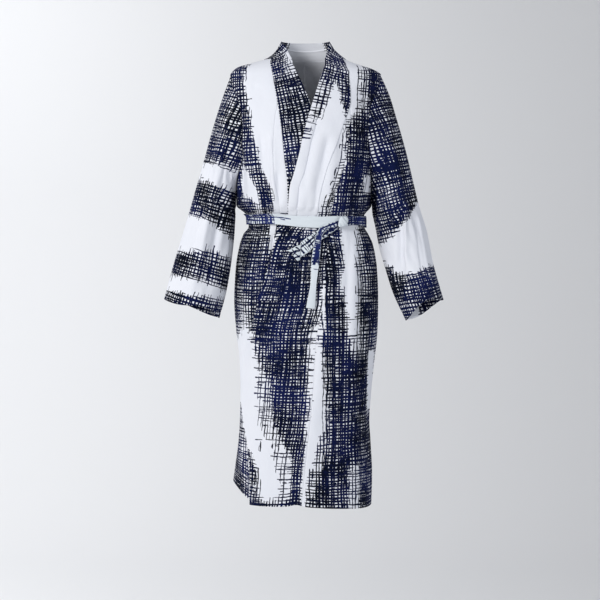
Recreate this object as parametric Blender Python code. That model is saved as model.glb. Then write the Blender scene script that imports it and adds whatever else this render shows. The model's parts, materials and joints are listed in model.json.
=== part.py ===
"""A cotton yukata robe, worn closed with the wearer's left front over the right.

Metres, +Z up, the front faces -Y and +X is the viewer's right, the wearer's left.
The origin lies between the shoulders at the base of the neck, where the robe hangs.
Every panel is a thin wall that lies on one body surface, given by sections and an angle:
0 at the centre front, 90 degrees at the wearer's left side, 180 at the centre back.
"""

import bmesh
import bpy
import numpy as np

MM = 0.001

# Cloth and layers
WALL = 1.2 * MM
LAYER = 2.2 * MM
SEAM_GAP = 0.7 * MM
ARMHOLE_GAP = 1.0 * MM
ARMHOLE_TIP = 2.0 * MM
COLLAR_LAP = 8 * MM

# Numerical steps for normals and arc lengths
ANGLE_STEP = 0.002
HEIGHT_STEP = 0.4 * MM
ARC_SAMPLES = 121

# Body sections in millimetres, from the collar's top down to the hem
SECTION_COLUMNS = ("z", "left", "right", "front", "back", "square")
SECTIONS = (
    (48, 57, 59, 8, 42, 2.0),
    (30, 68, 71, 16, 48, 2.0),
    (4, 96, 100, 30, 56, 2.0),
    (-1, 112, 109, 35, 60, 2.0),
    (-6, 130, 121, 39, 63, 2.1),
    (-10, 144, 132, 43, 66, 2.1),
    (-18, 172, 158, 50, 71, 2.1),
    (-24, 181, 175, 55, 74, 2.2),
    (-38, 192, 195, 64, 80, 2.2),
    (-60, 193, 195, 74, 88, 2.3),
    (-100, 189, 190, 88, 98, 2.4),
    (-150, 184, 185, 104, 105, 2.5),
    (-200, 181, 181, 118, 109, 2.5),
    (-260, 179, 177, 130, 110, 2.5),
    (-310, 178, 173, 135, 106, 2.5),
    (-350, 178, 171, 135, 102, 2.4),
    (-374, 176, 169, 131, 100, 2.4),
    (-388, 160, 160, 124, 98, 2.4),
    (-400, 147, 152, 119, 96, 2.4),
    (-429, 145, 153, 118, 96, 2.4),
    (-445, 156, 161, 122, 99, 2.4),
    (-476, 169, 175, 130, 106, 2.4),
    (-541, 179, 187, 140, 118, 2.4),
    (-619, 182, 190, 147, 126, 2.4),
    (-699, 177, 187, 150, 130, 2.4),
    (-780, 169, 179, 152, 133, 2.3),
    (-866, 166, 171, 154, 136, 2.3),
    (-931, 168, 167, 155, 138, 2.3),
    (-983, 172, 170, 156, 140, 2.3),
    (-1061, 182, 174, 158, 143, 2.3),
    (-1160, 198, 172, 160, 147, 2.3),
)

# Heights of the rows of every body panel, in millimetres
ROWS = (
    2, -3, -8, -13, -18, -25, -38, -55, -78, -105, -135, -168, -202, -236, -270, -302, -332, -356,
    -374, -383, -392, -404, -417, -430, -445, -460, -485, -520, -565, -615, -670, -730, -790, -850,
    -910, -965, -1015, -1060, -1100, -1130,
)
ARMHOLE_TOP = -38 * MM
ARMHOLE_BOTTOM = -374 * MM
ARMHOLE_HALF_DEPTH = 70 * MM
ARMHOLE_ROUNDNESS = 0.75
ARMHOLE_LAP = (-240 * MM, -325 * MM)
OKUMI_TOP = -120 * MM
OKUMI_EDGE_OUT = (-300 * MM, -395 * MM)
FRONT_TUCK = (-90 * MM, -118 * MM)
LEVEL_HEM = -1130 * MM
HEM_SHAPED_BELOW = -1000 * MM

# Edges and seams on the front, in millimetres: x, z
UNDER_COLLAR_SEAM = (
    (-90, 2), (-82, -46), (-74, -91), (-66, -136), (-58, -196), (-52, -260), (-45, -320), (-43, -393),
    (-26, -430), (4, -500), (40, -620),
)
UNDER_EDGE = (
    (-47, 30), (-23, -31), (-3, -76), (14, -121), (24, -183), (32, -250), (38, -320), (42, -393),
    (54, -430), (76, -500), (98, -600), (116, -700), (124, -800), (122, -900), (114, -1010), (106, -1130),
)
OVER_COLLAR_SEAM = (
    (99, 2), (111, -46), (114, -104), (96, -170), (73, -234), (52, -300), (38, -350), (30, -393),
    (2, -430), (-30, -484), (-58, -620),
)
OVER_EDGE = (
    (58, 34), (46, -30), (30, -78), (10, -145), (-8, -213), (-22, -275), (-38, -335), (-42, -393),
    (-68, -430), (-86, -484), (-108, -592), (-139, -691), (-154, -792), (-156, -890), (-147, -966),
    (-141, -1012), (-139, -1045), (-139, -1130),
)
UNDER_OKUMI_SEAM = (
    (-70, -120), (-76, -150), (-80, -219), (-78, -285), (-64, -385), (-57, -500), (-50, -600),
    (-35, -710), (-22, -850), (0, -1034), (8, -1130),
)
OVER_OKUMI_SEAM = (
    (112, -120), (115, -150), (112, -187), (104, -246), (94, -290), (76, -347), (63, -393), (55, -496),
    (50, -599), (30, -708), (20, -848), (0, -1034), (-8, -1130),
)

# Hems of the over and under fronts against x, in millimetres, and of the back at its sides
OVER_HEM = (
    (-200, -1133), (-139, -1133), (-50, -1131), (-20, -1126), (0, -1130), (80, -1138), (200, -1150),
)
UNDER_HEM = ((-200, -1088), (-186, -1092), (-139, -1120), (-110, -1122), (200, -1122))
BACK_LEFT_SIDE_HEM = -1150.5 * MM
BACK_RIGHT_SIDE_HEM = -1090 * MM

# Collar stations near the neck: heights on its seam and on its free edge; further down both are the rows
COLLAR_UPPER_STATIONS = (
    (2, 30), (-10, 12), (-26, -9), (-46, -31), (-68, -53), (-91, -76), (-113, -98), (-136, -121),
    (-166, -152), (-198, -185), (-232, -222), (-267, -262),
)
COLLAR_LEVEL_BELOW = -290
COLLAR_END = -615
COLLAR_NECK_ANGLES = (-92, -268)
COLLAR_NECK_STATIONS = 19
COLLAR_NECK_LOW = -3 * MM
COLLAR_NECK_SIDE_LOW = 1 * MM
COLLAR_NECK_TOP = 48 * MM
COLLAR_COLUMNS = 5

# Folds of the body: x and z at the top, x and z at the end, half width, height, all in millimetres
FRONT_FOLDS = (
    (68, -450, 14, -1125, 24, 4.0),
    (112, -445, 100, -1125, 24, -4.0),
    (14, -455, -46, -1125, 24, -3.5),
    (-72, -450, -104, -1000, 24, -4.0),
    (100, -170, 44, -372, 22, -3.0),
    (-104, -170, -96, -372, 20, -3.0),
)
BACK_FOLDS = (
    (-116, -445, -126, -1125, 24, -5.0),
    (-62, -450, -62, -1000, 26, 3.5),
    (-8, -445, 2, -1125, 26, -4.5),
    (58, -450, 70, -1050, 26, 3.5),
    (112, -445, 120, -1125, 24, -5.0),
    (-84, -150, -66, -372, 24, -4.0),
    (62, -160, 80, -372, 24, -4.0),
)
FOLD_ONSET = 70 * MM
FOLD_FACING = 0.25

# Sleeve sections in millimetres: outer x and z, inner x and z, middle y, half depth
SLEEVE_COLUMNS = ("outer_x", "outer_z", "inner_x", "inner_z", "middle_y", "half_depth")
SLEEVE_RIGHT = (
    (-216, -104, -181, -385, 0, 70),
    (-239, -177, -180, -398, -4, 74),
    (-264, -268, -181, -421, -11, 77),
    (-285, -341, -182, -444, -20, 78),
    (-301, -400, -185, -478, -30, 77),
    (-319, -462, -190, -524, -45, 75),
    (-341, -539, -202, -595, -60, 73),
    (-360, -612, -219, -661, -75, 72),
)
SLEEVE_LEFT = (
    (218, -89, 174, -386, 0, 70),
    (237, -151, 175, -398, -6, 74),
    (261, -237, 178, -413, -17, 77),
    (280, -320, 183, -439, -32, 78),
    (293, -377, 189, -475, -48, 77),
    (311, -441, 203, -528, -70, 75),
    (324, -517, 223, -595, -98, 73),
    (349, -611, 254, -664, -124, 72),
)
CUFF_ROUNDNESS = 0.5
SLEEVE_RINGS = 13

# Layers of the over front against the angle, in degrees
OVER_LIFT = 2 * LAYER
OVER_LIFT_HIGH = -30 * MM
OVER_LIFT_LOW = -90 * MM
CHEST_LIFT_FADE = (24, 50)
SKIRT_LIFT_FADE = (48, 82)
CHEST_TO_SKIRT = (-330 * MM, -400 * MM)

# Belt: angle in degrees against the middle's height in millimetres
BELT_LINE = (
    (-180, -410), (-90, -407), (-35, -405), (-5, -413), (15, -417), (35, -413), (55, -411), (90, -417),
    (180, -410),
)
BELT_WIDTH = 31 * MM
BELT_FRONT_LIFT = 9.2 * MM
BELT_BACK_LIFT = 2.8 * MM
BELT_SEAT = 0.75 * MM
BELT_FADE = (55, 105)
BELT_COLUMNS = 60

# Belt ends and knot, in millimetres: x, z
SHORT_TAIL_LINE = ((86, -417), (62, -434), (28, -458), (-2, -481), (-32, -502))
SHORT_TAIL_WIDTH = 24 * MM
SHORT_TAIL_LIFT = BELT_FRONT_LIFT + WALL + BELT_SEAT
LONG_TAIL_LINE = (
    (88, -413), (66, -423), (48, -432), (36, -450), (30, -485), (26, -536), (19, -586), (11, -632),
)
LONG_TAIL_WIDTH = 16 * MM
LONG_TAIL_LIFT = SHORT_TAIL_LIFT + WALL + BELT_SEAT
KNOT_CENTRE = (88 * MM, -415 * MM)
KNOT_HALF_SIZE = (13 * MM, 14 * MM)
KNOT_HALF_THICKNESS = 5 * MM
KNOT_LIFT = LONG_TAIL_LIFT + WALL + BELT_SEAT
KNOT_SEGMENTS = (12, 8)

# Mesh columns across each panel
FRONT_COLUMNS = 11
BACK_COLUMNS = 9
OKUMI_COLUMNS = 5
TAIL_COLUMNS = 2
TAIL_STATIONS = 18

# Colours
COTTON_WHITE = (0.83, 0.85, 0.90, 1.0)
LATTICE_NAVY = (0.10, 0.11, 0.26, 1.0)
ROUGHNESS = 0.85


def curve(x, knots, values):
    """A smooth curve through the knots that never overshoots them."""
    x = np.asarray(x, dtype=float)
    knots = np.asarray(knots, dtype=float)
    values = np.asarray(values, dtype=float)
    if knots[0] > knots[-1]:
        knots = knots[::-1]
        values = values[::-1]
    step = np.diff(knots)
    rise = np.diff(values) / step
    slope = np.zeros(len(knots))
    slope[0] = rise[0]
    slope[-1] = rise[-1]
    before = rise[:-1]
    after = rise[1:]
    same_way = before * after > 0
    first = 2 * step[1:] + step[:-1]
    second = step[1:] + 2 * step[:-1]
    safe_before = np.where(same_way, before, 1.0)
    safe_after = np.where(same_way, after, 1.0)
    slope[1:-1] = np.where(same_way, (first + second) / (first / safe_before + second / safe_after), 0.0)
    x = np.clip(x, knots[0], knots[-1])
    index = np.clip(np.searchsorted(knots, x, side="right") - 1, 0, len(knots) - 2)
    width = step[index]
    t = (x - knots[index]) / width
    return (
        values[index] * (1 + 2 * t) * (1 - t) ** 2
        + values[index + 1] * t * t * (3 - 2 * t)
        + slope[index] * width * t * (1 - t) ** 2
        + slope[index + 1] * width * t * t * (t - 1)
    )


def smooth_step(value, low, high):
    """0 at low, 1 at high, with a soft start and end."""
    t = np.clip((np.asarray(value, dtype=float) - low) / (high - low), 0.0, 1.0)
    return t * t * (3 - 2 * t)


def line_x(table, z):
    """The x of a line drawn on the front, at height z."""
    points = np.array(table) * MM
    return curve(z, points[:, 1], points[:, 0])


def section(z):
    """The body section's sizes at height z, by column name."""
    table = np.array(SECTIONS, dtype=float)
    heights = table[:, 0] * MM
    sizes = {}
    for column, name in enumerate(SECTION_COLUMNS):
        scale = 1.0 if name == "square" else MM
        sizes[name] = curve(z, heights, table[:, column] * scale)
    return sizes


def plain_point(angle, z):
    """A point of the body surface without its folds."""
    angle, z = np.broadcast_arrays(np.asarray(angle, dtype=float), np.asarray(z, dtype=float))
    size = section(z)
    across = np.sin(angle)
    along = np.cos(angle)
    power = size["square"]
    reach = (np.abs(across) ** power + np.abs(along) ** power) ** (-1 / power)
    half_width = np.where(across < 0, size["left"], size["right"])
    depth = np.where(along > 0, size["front"], size["back"])
    return np.stack((half_width * across * reach, -depth * along * reach, z), axis=-1)


def surface_normal(point_at, angle, z):
    """The outward normal of a surface given by angle and height."""
    around = point_at(angle + ANGLE_STEP, z) - point_at(angle - ANGLE_STEP, z)
    upward = point_at(angle, z + HEIGHT_STEP) - point_at(angle, z - HEIGHT_STEP)
    normal = np.cross(around, upward)
    return normal / np.linalg.norm(normal, axis=-1, keepdims=True)


def fold_height(point, angle):
    """How far the folds push a point of the body surface out."""
    x = point[..., 0]
    z = point[..., 2]
    height = np.zeros(x.shape)
    for folds, side in ((FRONT_FOLDS, 1.0), (BACK_FOLDS, -1.0)):
        facing = smooth_step(side * np.cos(angle), 0.0, FOLD_FACING)
        for top_x, top_z, end_x, end_z, half_width, size in folds:
            along = (top_z * MM - z) / ((top_z - end_z) * MM)
            middle = (top_x + (end_x - top_x) * along) * MM
            shape = np.exp(-(((x - middle) / (half_width * MM)) ** 2))
            begins = smooth_step(top_z * MM - z, 0.0, FOLD_ONSET)
            ends = smooth_step(z - end_z * MM, -FOLD_ONSET / 2, FOLD_ONSET / 2)
            height = height + facing * shape * begins * ends * size * MM
    return height


def folded_point(angle, z):
    """A point of the body surface with its folds."""
    point = plain_point(angle, z)
    normal = surface_normal(plain_point, angle, z)
    return point + normal * fold_height(point, angle)[..., None]


def body_surface(angle, z, lift):
    """Points at a distance outside the folded body surface."""
    angle, z = np.broadcast_arrays(np.asarray(angle, dtype=float), np.asarray(z, dtype=float))
    normal = surface_normal(folded_point, angle, z)
    return folded_point(angle, z) + normal * np.broadcast_to(lift, angle.shape)[..., None]


def front_angle(x, z):
    """The angle of a front point from its x and height."""
    size = section(z)
    half_width = np.where(np.asarray(x) < 0, size["left"], size["right"])
    share = np.clip(np.abs(x) / half_width, 0.0, 1.0)
    rest = (1 - share ** size["square"]) ** (1 / size["square"])
    return np.sign(x) * np.arctan2(share, rest)


def lens(way, roundness):
    """The half depth of a sleeve's section against the way from its upper edge to its lower one."""
    return np.sin(np.pi * way) ** roundness


def armhole_angle(z, depth_name):
    """The angle from the front or back middle to the armhole's edge; the side below and above it."""
    size = section(z)
    way = np.clip((ARMHOLE_TOP - z) / (ARMHOLE_TOP - ARMHOLE_BOTTOM), 0.0, 1.0)
    opening = ARMHOLE_HALF_DEPTH * lens(way, ARMHOLE_ROUNDNESS)
    share = opening / size[depth_name]
    across = (1 - share ** size["square"]) ** (1 / size["square"])
    return np.arctan2(across, share)


def over_lift(angle, z):
    """How far the over front stands off the body surface, to clear the under front."""
    turned = np.degrees(np.abs((angle + np.pi) % (2 * np.pi) - np.pi))
    wearer_left = np.sin(angle) > 0
    skirt = smooth_step(-z, -CHEST_TO_SKIRT[0], -CHEST_TO_SKIRT[1])
    begin = CHEST_LIFT_FADE[0] + (SKIRT_LIFT_FADE[0] - CHEST_LIFT_FADE[0]) * skirt
    finish = CHEST_LIFT_FADE[1] + (SKIRT_LIFT_FADE[1] - CHEST_LIFT_FADE[1]) * skirt
    t = np.clip((turned - begin) / (finish - begin), 0.0, 1.0)
    fade = np.where(wearer_left, t * t * (3 - 2 * t), 0.0)
    below_neck = smooth_step(-z, -OVER_LIFT_HIGH, -OVER_LIFT_LOW)
    return OVER_LIFT * (1 - fade) * below_neck


def closed_wall(name, inner, outer, wraps, colour):
    """A closed solid between two grids of points, open or joined round the columns."""
    rows, columns = inner.shape[:2]
    count = rows * columns
    points = np.concatenate((inner.reshape(-1, 3), outer.reshape(-1, 3)))

    def at(row, column):
        return row * columns + column % columns

    faces = []
    last = columns if wraps else columns - 1
    for row in range(rows - 1):
        for column in range(last):
            cell = (at(row, column), at(row, column + 1), at(row + 1, column + 1), at(row + 1, column))
            faces.append(tuple(index + count for index in cell))
            faces.append(tuple(reversed(cell)))
    rims = [(at(row, column), at(row, column + 1)) for row in (0, rows - 1) for column in range(last)]
    if not wraps:
        for column in (0, columns - 1):
            rims += [(at(row, column), at(row + 1, column)) for row in range(rows - 1)]
    for first, second in rims:
        faces.append((first, second, second + count, first + count))
    mesh = bpy.data.meshes.new(name)
    mesh.from_pydata([tuple(point) for point in points], [], faces)
    finish_mesh(mesh)
    return add_object(name, mesh, colour)


def finish_mesh(mesh):
    """Turn every face outward and shade the mesh smooth."""
    work = bmesh.new()
    work.from_mesh(mesh)
    bmesh.ops.triangulate(work, faces=work.faces)
    bmesh.ops.recalc_face_normals(work, faces=work.faces)
    if work.calc_volume(signed=True) < 0:
        bmesh.ops.reverse_faces(work, faces=work.faces)
    work.to_mesh(mesh)
    work.free()
    mesh.shade_smooth()


def add_object(name, mesh, colour):
    """Link a mesh as an object with its own material."""
    material = bpy.data.materials.new(name + "_cloth")
    material.use_nodes = True
    shader = material.node_tree.nodes["Principled BSDF"]
    shader.inputs["Base Color"].default_value = colour
    shader.inputs["Roughness"].default_value = ROUGHNESS
    shader.inputs["Metallic"].default_value = 0.0
    mesh.materials.append(material)
    made = bpy.data.objects.new(name, mesh)
    bpy.context.collection.objects.link(made)
    return made


def row_angles(z, first, last, columns, first_gap, last_gap):
    """Angles evenly spaced along one row, kept clear of the seams at both ends."""
    angles = np.linspace(first, last, ARC_SAMPLES)
    points = folded_point(angles, np.full(ARC_SAMPLES, z))
    length = np.concatenate(([0.0], np.cumsum(np.linalg.norm(np.diff(points, axis=0), axis=1))))
    wanted = np.linspace(first_gap, length[-1] - last_gap, columns + 1)
    return np.interp(wanted, length, angles)


def panel(name, top, first_edge, last_edge, columns, gaps, lift, hem, colour):
    """A panel of the body between two edges, each given as an angle for a height."""
    heights = np.array([row * MM for row in ROWS if row * MM <= top])
    angles = np.array([row_angles(z, first_edge(z), last_edge(z), columns, *gaps) for z in heights])
    levels = np.repeat(heights[:, None], columns + 1, axis=1)
    below = np.clip((HEM_SHAPED_BELOW - levels) / (HEM_SHAPED_BELOW - LEVEL_HEM), 0.0, 1.0)
    levels = levels + below * (hem(angles) - LEVEL_HEM)
    lifts = lift(angles, levels)
    inner = body_surface(angles, levels, lifts)
    outer = body_surface(angles, levels, lifts + WALL)
    return closed_wall(name, inner, outer, False, colour)


def no_lift(angle, z):
    """Panels that lie on the body surface itself."""
    return np.zeros(np.shape(angle))


def front_hem(line):
    """A hem that follows a line drawn on the front."""
    points = np.array(line) * MM

    def hem(angle):
        x = plain_point(angle, np.full(np.shape(angle), LEVEL_HEM))[..., 0]
        return curve(x, points[:, 0], points[:, 1])

    return hem


def back_hem(side_height):
    """A hem that is level at the centre back and meets the front's at the side."""

    def hem(angle):
        return LEVEL_HEM + (side_height - LEVEL_HEM) * smooth_step(-np.cos(angle), 1.0, 0.0)

    return hem


def panel_edge(seam, free_edge, z):
    """A front's inner edge: just inside the collar's seam, and out to the free edge below the belt."""
    lap = COLLAR_LAP if line_x(free_edge, z) > line_x(seam, z) else -COLLAR_LAP
    above = line_x(seam, z) + lap
    below = line_x(free_edge, z) - np.sign(lap) * SEAM_GAP
    low = smooth_step(-z, -OKUMI_EDGE_OUT[0], -OKUMI_EDGE_OUT[1])
    return front_angle(above + (below - above) * low, z)


def front_inner_angle(collar_seam, okumi_seam, side, z):
    """A front's inner edge: under the collar at the top, then along the seam of its overlap panel."""
    if z > OKUMI_TOP:
        tuck = COLLAR_LAP * (1 - smooth_step(-z, -FRONT_TUCK[0], -FRONT_TUCK[1]))
        return front_angle(line_x(collar_seam, z) - side * tuck, z)
    return front_angle(line_x(okumi_seam, z), z)


def build_fronts():
    """The two fronts, from the shoulder to the hem."""
    panel(
        "front_right", ROWS[0] * MM,
        lambda z: -armhole_angle(z, "front"),
        lambda z: front_inner_angle(UNDER_COLLAR_SEAM, UNDER_OKUMI_SEAM, -1, z),
        FRONT_COLUMNS, (SEAM_GAP / 2, SEAM_GAP / 2), no_lift, front_hem(UNDER_HEM), COTTON_WHITE,
    )
    panel(
        "front_left", ROWS[0] * MM,
        lambda z: front_inner_angle(OVER_COLLAR_SEAM, OVER_OKUMI_SEAM, 1, z),
        lambda z: armhole_angle(z, "front"),
        FRONT_COLUMNS, (SEAM_GAP / 2, SEAM_GAP / 2), over_lift, front_hem(OVER_HEM), COTTON_WHITE,
    )


def build_okumi():
    """The two overlap panels, between each front and the collar or the free edge."""
    panel(
        "okumi_right", OKUMI_TOP,
        lambda z: front_angle(line_x(UNDER_OKUMI_SEAM, z), z),
        lambda z: panel_edge(UNDER_COLLAR_SEAM, UNDER_EDGE, z),
        OKUMI_COLUMNS, (SEAM_GAP / 2, 0.0), no_lift, front_hem(UNDER_HEM), LATTICE_NAVY,
    )
    panel(
        "okumi_left", OKUMI_TOP,
        lambda z: panel_edge(OVER_COLLAR_SEAM, OVER_EDGE, z),
        lambda z: front_angle(line_x(OVER_OKUMI_SEAM, z), z),
        OKUMI_COLUMNS, (0.0, SEAM_GAP / 2), over_lift, front_hem(OVER_HEM), LATTICE_NAVY,
    )


def build_backs():
    """The back's two halves, joined along the centre back."""
    panel(
        "back_left", ROWS[0] * MM,
        lambda z: np.pi - armhole_angle(z, "back"),
        lambda z: np.pi,
        BACK_COLUMNS, (SEAM_GAP / 2, SEAM_GAP / 2), no_lift, back_hem(BACK_LEFT_SIDE_HEM), COTTON_WHITE,
    )
    panel(
        "back_right", ROWS[0] * MM,
        lambda z: -np.pi,
        lambda z: armhole_angle(z, "back") - np.pi,
        BACK_COLUMNS, (SEAM_GAP / 2, SEAM_GAP / 2), no_lift, back_hem(BACK_RIGHT_SIDE_HEM), COTTON_WHITE,
    )


def collar_stations():
    """Angles and heights of the collar's seam and free edge, from the under end to the over end."""
    level_rows = [(row, row) for row in ROWS if COLLAR_END <= row <= COLLAR_LEVEL_BELOW]
    heights = list(COLLAR_UPPER_STATIONS) + level_rows

    def front_part(seam, edge, turn):
        part = []
        for seam_z, edge_z in heights:
            seam_angle = float(front_angle(line_x(seam, seam_z * MM), seam_z * MM)) + turn
            edge_angle = float(front_angle(line_x(edge, edge_z * MM), edge_z * MM)) + turn
            part.append((seam_angle, seam_z * MM, edge_angle, edge_z * MM))
        return part

    under = front_part(UNDER_COLLAR_SEAM, UNDER_EDGE, 0.0)
    over = front_part(OVER_COLLAR_SEAM, OVER_EDGE, -2 * np.pi)
    neck = []
    for angle in np.radians(np.linspace(*COLLAR_NECK_ANGLES, COLLAR_NECK_STATIONS)):
        behind = smooth_step(-np.cos(angle), 0.0, 1.0)
        low = COLLAR_NECK_SIDE_LOW + (COLLAR_NECK_LOW - COLLAR_NECK_SIDE_LOW) * behind
        neck.append((angle, low, angle, COLLAR_NECK_TOP))
    return np.array(under[::-1] + neck + over), len(under) + len(neck) // 2


def build_collar():
    """The one long collar, from its under end round the neck to its over end."""
    stations, middle = collar_stations()
    seam_angle, seam_z, edge_angle, edge_z = (stations[:, part, None] for part in range(4))
    share = np.linspace(0.0, 1.0, COLLAR_COLUMNS + 1)
    angles = seam_angle + (edge_angle - seam_angle) * share
    levels = seam_z + (edge_z - seam_z) * share
    is_over = np.arange(len(stations))[:, None] > middle
    lifts = LAYER + np.where(is_over, over_lift(angles, levels), 0.0)
    inner = body_surface(angles, levels, lifts)
    outer = body_surface(angles, levels, lifts + WALL)
    closed_wall("collar", inner, outer, False, COTTON_WHITE)


def armhole_ring(side, way):
    """The sleeve's first ring, just inside the armhole's edge, front and then back."""
    heights = ARMHOLE_TOP + (ARMHOLE_BOTTOM - ARMHOLE_TOP) * way
    size = section(heights)
    front = armhole_angle(heights, "front") + ARMHOLE_GAP / size["front"]
    back = np.pi - armhole_angle(heights, "back") - ARMHOLE_GAP / size["back"]
    front[[0, -1]] = np.pi / 2
    angles = side * np.concatenate((front, back[-2:0:-1]))
    levels = np.concatenate((heights, heights[-2:0:-1]))
    lifts = over_lift(angles, levels) if side > 0 else np.zeros(len(angles))
    lifts = lifts + (WALL + ARMHOLE_GAP) * smooth_step(-levels, -ARMHOLE_LAP[0], -ARMHOLE_LAP[1])
    levels[0] -= ARMHOLE_TIP
    levels[len(heights) - 1] += ARMHOLE_TIP
    return body_surface(angles, levels, lifts)


def sleeve_ring(row, way, roundness):
    """One ring of a sleeve from its outer and inner edges, front and then back."""
    sizes = {name: value * MM for name, value in zip(SLEEVE_COLUMNS, row)}
    x = sizes["outer_x"] + (sizes["inner_x"] - sizes["outer_x"]) * way
    z = sizes["outer_z"] + (sizes["inner_z"] - sizes["outer_z"]) * way
    depth = sizes["half_depth"] * lens(way, roundness)
    front = np.stack((x, sizes["middle_y"] - depth, z), axis=-1)
    back = np.stack((x, sizes["middle_y"] + depth, z), axis=-1)
    return np.concatenate((front, back[-2:0:-1]))


def sleeve_grid(side, table, rings):
    """Outer points and outward normals of a sleeve, from the armhole to the cuff."""
    heights = np.array([row * MM for row in ROWS if ARMHOLE_BOTTOM <= row * MM <= ARMHOLE_TOP])
    way = (ARMHOLE_TOP - heights) / (ARMHOLE_TOP - ARMHOLE_BOTTOM)
    loops = [armhole_ring(side, way)]
    for place, row in enumerate(table):
        share = (place + 1) / len(table)
        loops.append(sleeve_ring(row, way, ARMHOLE_ROUNDNESS + (CUFF_ROUNDNESS - ARMHOLE_ROUNDNESS) * share))
    loops = np.array(loops)
    marks = np.arange(len(loops), dtype=float)
    fine = np.linspace(0, len(loops) - 1, rings)
    grid = np.zeros((rings,) + loops.shape[1:])
    for column in range(loops.shape[1]):
        for part in range(3):
            grid[:, column, part] = curve(fine, marks, loops[:, column, part])
    down = np.gradient(grid, axis=0)
    around = np.roll(grid, -1, axis=1) - np.roll(grid, 1, axis=1)
    normals = np.cross(down, around)
    normals /= np.linalg.norm(normals, axis=-1, keepdims=True)
    outward = grid - grid.mean(axis=1, keepdims=True)
    return grid, normals * np.sign(np.sum(normals * outward))


def build_sleeves():
    """The two sleeves, open at the armhole and at the cuff."""
    for name, side, table in (("sleeve_right", -1, SLEEVE_RIGHT), ("sleeve_left", 1, SLEEVE_LEFT)):
        outer, normals = sleeve_grid(side, table, SLEEVE_RINGS)
        closed_wall(name, outer - normals * WALL, outer, True, COTTON_WHITE)


def build_belt():
    """The belt where it goes round the waist."""
    angles = np.linspace(-np.pi, np.pi, BELT_COLUMNS, endpoint=False)
    line = np.array(BELT_LINE, dtype=float)
    middle = curve(np.degrees(angles), line[:, 0], line[:, 1] * MM)
    share = np.linspace(0.5, -0.5, 3)[:, None]
    levels = middle + share * BELT_WIDTH
    angles = np.broadcast_to(angles, levels.shape)
    fade = smooth_step(np.degrees(np.abs(angles)), BELT_FADE[0], BELT_FADE[1])
    lifts = BELT_FRONT_LIFT + (BELT_BACK_LIFT - BELT_FRONT_LIFT) * fade
    inner = body_surface(angles, levels, lifts)
    outer = body_surface(angles, levels, lifts + WALL)
    closed_wall("belt_band", inner, outer, True, COTTON_WHITE)


def build_tail(name, line, width, lift, colour):
    """One hanging end of the belt, a flat strip along a line on the front."""
    points = np.array(line) * MM
    marks = np.arange(len(points), dtype=float)
    fine = np.linspace(0, len(points) - 1, TAIL_STATIONS)
    x = curve(fine, marks, points[:, 0])
    z = curve(fine, marks, points[:, 1])
    way_x = np.gradient(x)
    way_z = np.gradient(z)
    length = np.hypot(way_x, way_z)
    share = np.linspace(-0.5, 0.5, TAIL_COLUMNS + 1) * width
    levels = z[:, None] + (way_x / length)[:, None] * share
    angles = front_angle(x[:, None] - (way_z / length)[:, None] * share, levels)
    inner = body_surface(angles, levels, lift)
    outer = body_surface(angles, levels, lift + WALL)
    closed_wall(name, inner, outer, False, colour)


def build_knot():
    """The flat knot on the belt, a small rounded pad over the two ends."""
    work = bmesh.new()
    bmesh.ops.create_uvsphere(work, u_segments=KNOT_SEGMENTS[0], v_segments=KNOT_SEGMENTS[1], radius=1.0)
    for vertex in work.verts:
        across, outward, upward = vertex.co
        z = KNOT_CENTRE[1] + upward * KNOT_HALF_SIZE[1]
        angle = front_angle(KNOT_CENTRE[0] + across * KNOT_HALF_SIZE[0], z)
        lift = KNOT_LIFT + KNOT_HALF_THICKNESS * (1 + outward)
        vertex.co = body_surface(angle, z, lift)
    mesh = bpy.data.meshes.new("belt_knot")
    work.to_mesh(mesh)
    work.free()
    finish_mesh(mesh)
    add_object("belt_knot", mesh, COTTON_WHITE)


def main():
    """Clear the scene and build every piece of the robe."""
    for old in list(bpy.data.objects):
        bpy.data.objects.remove(old)
    build_fronts()
    build_okumi()
    build_backs()
    build_collar()
    build_sleeves()
    build_belt()
    build_tail("belt_tail_short", SHORT_TAIL_LINE, SHORT_TAIL_WIDTH, SHORT_TAIL_LIFT, LATTICE_NAVY)
    build_tail("belt_tail_long", LONG_TAIL_LINE, LONG_TAIL_WIDTH, LONG_TAIL_LIFT, LATTICE_NAVY)
    build_knot()


main()
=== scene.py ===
"""Looks of the cotton robe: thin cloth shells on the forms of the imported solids.

Metres, +Z up, the front faces -Y and +X is the robe's left as it is worn.
Body cloth is a function of an angle and a height: 0 is the centre front, 90 degrees the left side,
180 the centre back. Printed areas are drawn by strokes in the cloth's own cut lengths.
"""

import json
import math

import bmesh
import bpy
import numpy as np
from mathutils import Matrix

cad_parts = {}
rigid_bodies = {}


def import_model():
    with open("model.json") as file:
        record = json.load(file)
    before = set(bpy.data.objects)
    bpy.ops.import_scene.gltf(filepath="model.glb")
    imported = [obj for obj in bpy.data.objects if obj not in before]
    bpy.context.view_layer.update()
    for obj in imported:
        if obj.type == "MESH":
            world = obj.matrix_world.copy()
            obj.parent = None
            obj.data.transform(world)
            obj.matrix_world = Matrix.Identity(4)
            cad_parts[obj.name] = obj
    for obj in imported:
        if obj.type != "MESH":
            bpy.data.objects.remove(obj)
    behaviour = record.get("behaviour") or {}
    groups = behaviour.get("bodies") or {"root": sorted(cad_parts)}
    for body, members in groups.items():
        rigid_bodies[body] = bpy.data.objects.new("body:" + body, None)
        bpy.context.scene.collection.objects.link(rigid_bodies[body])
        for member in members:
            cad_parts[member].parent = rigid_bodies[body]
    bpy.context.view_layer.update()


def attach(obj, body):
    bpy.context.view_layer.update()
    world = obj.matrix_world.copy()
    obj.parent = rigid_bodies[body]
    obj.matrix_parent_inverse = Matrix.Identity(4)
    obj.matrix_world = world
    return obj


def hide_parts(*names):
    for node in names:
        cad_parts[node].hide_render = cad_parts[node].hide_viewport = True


MM = 0.001

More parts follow.
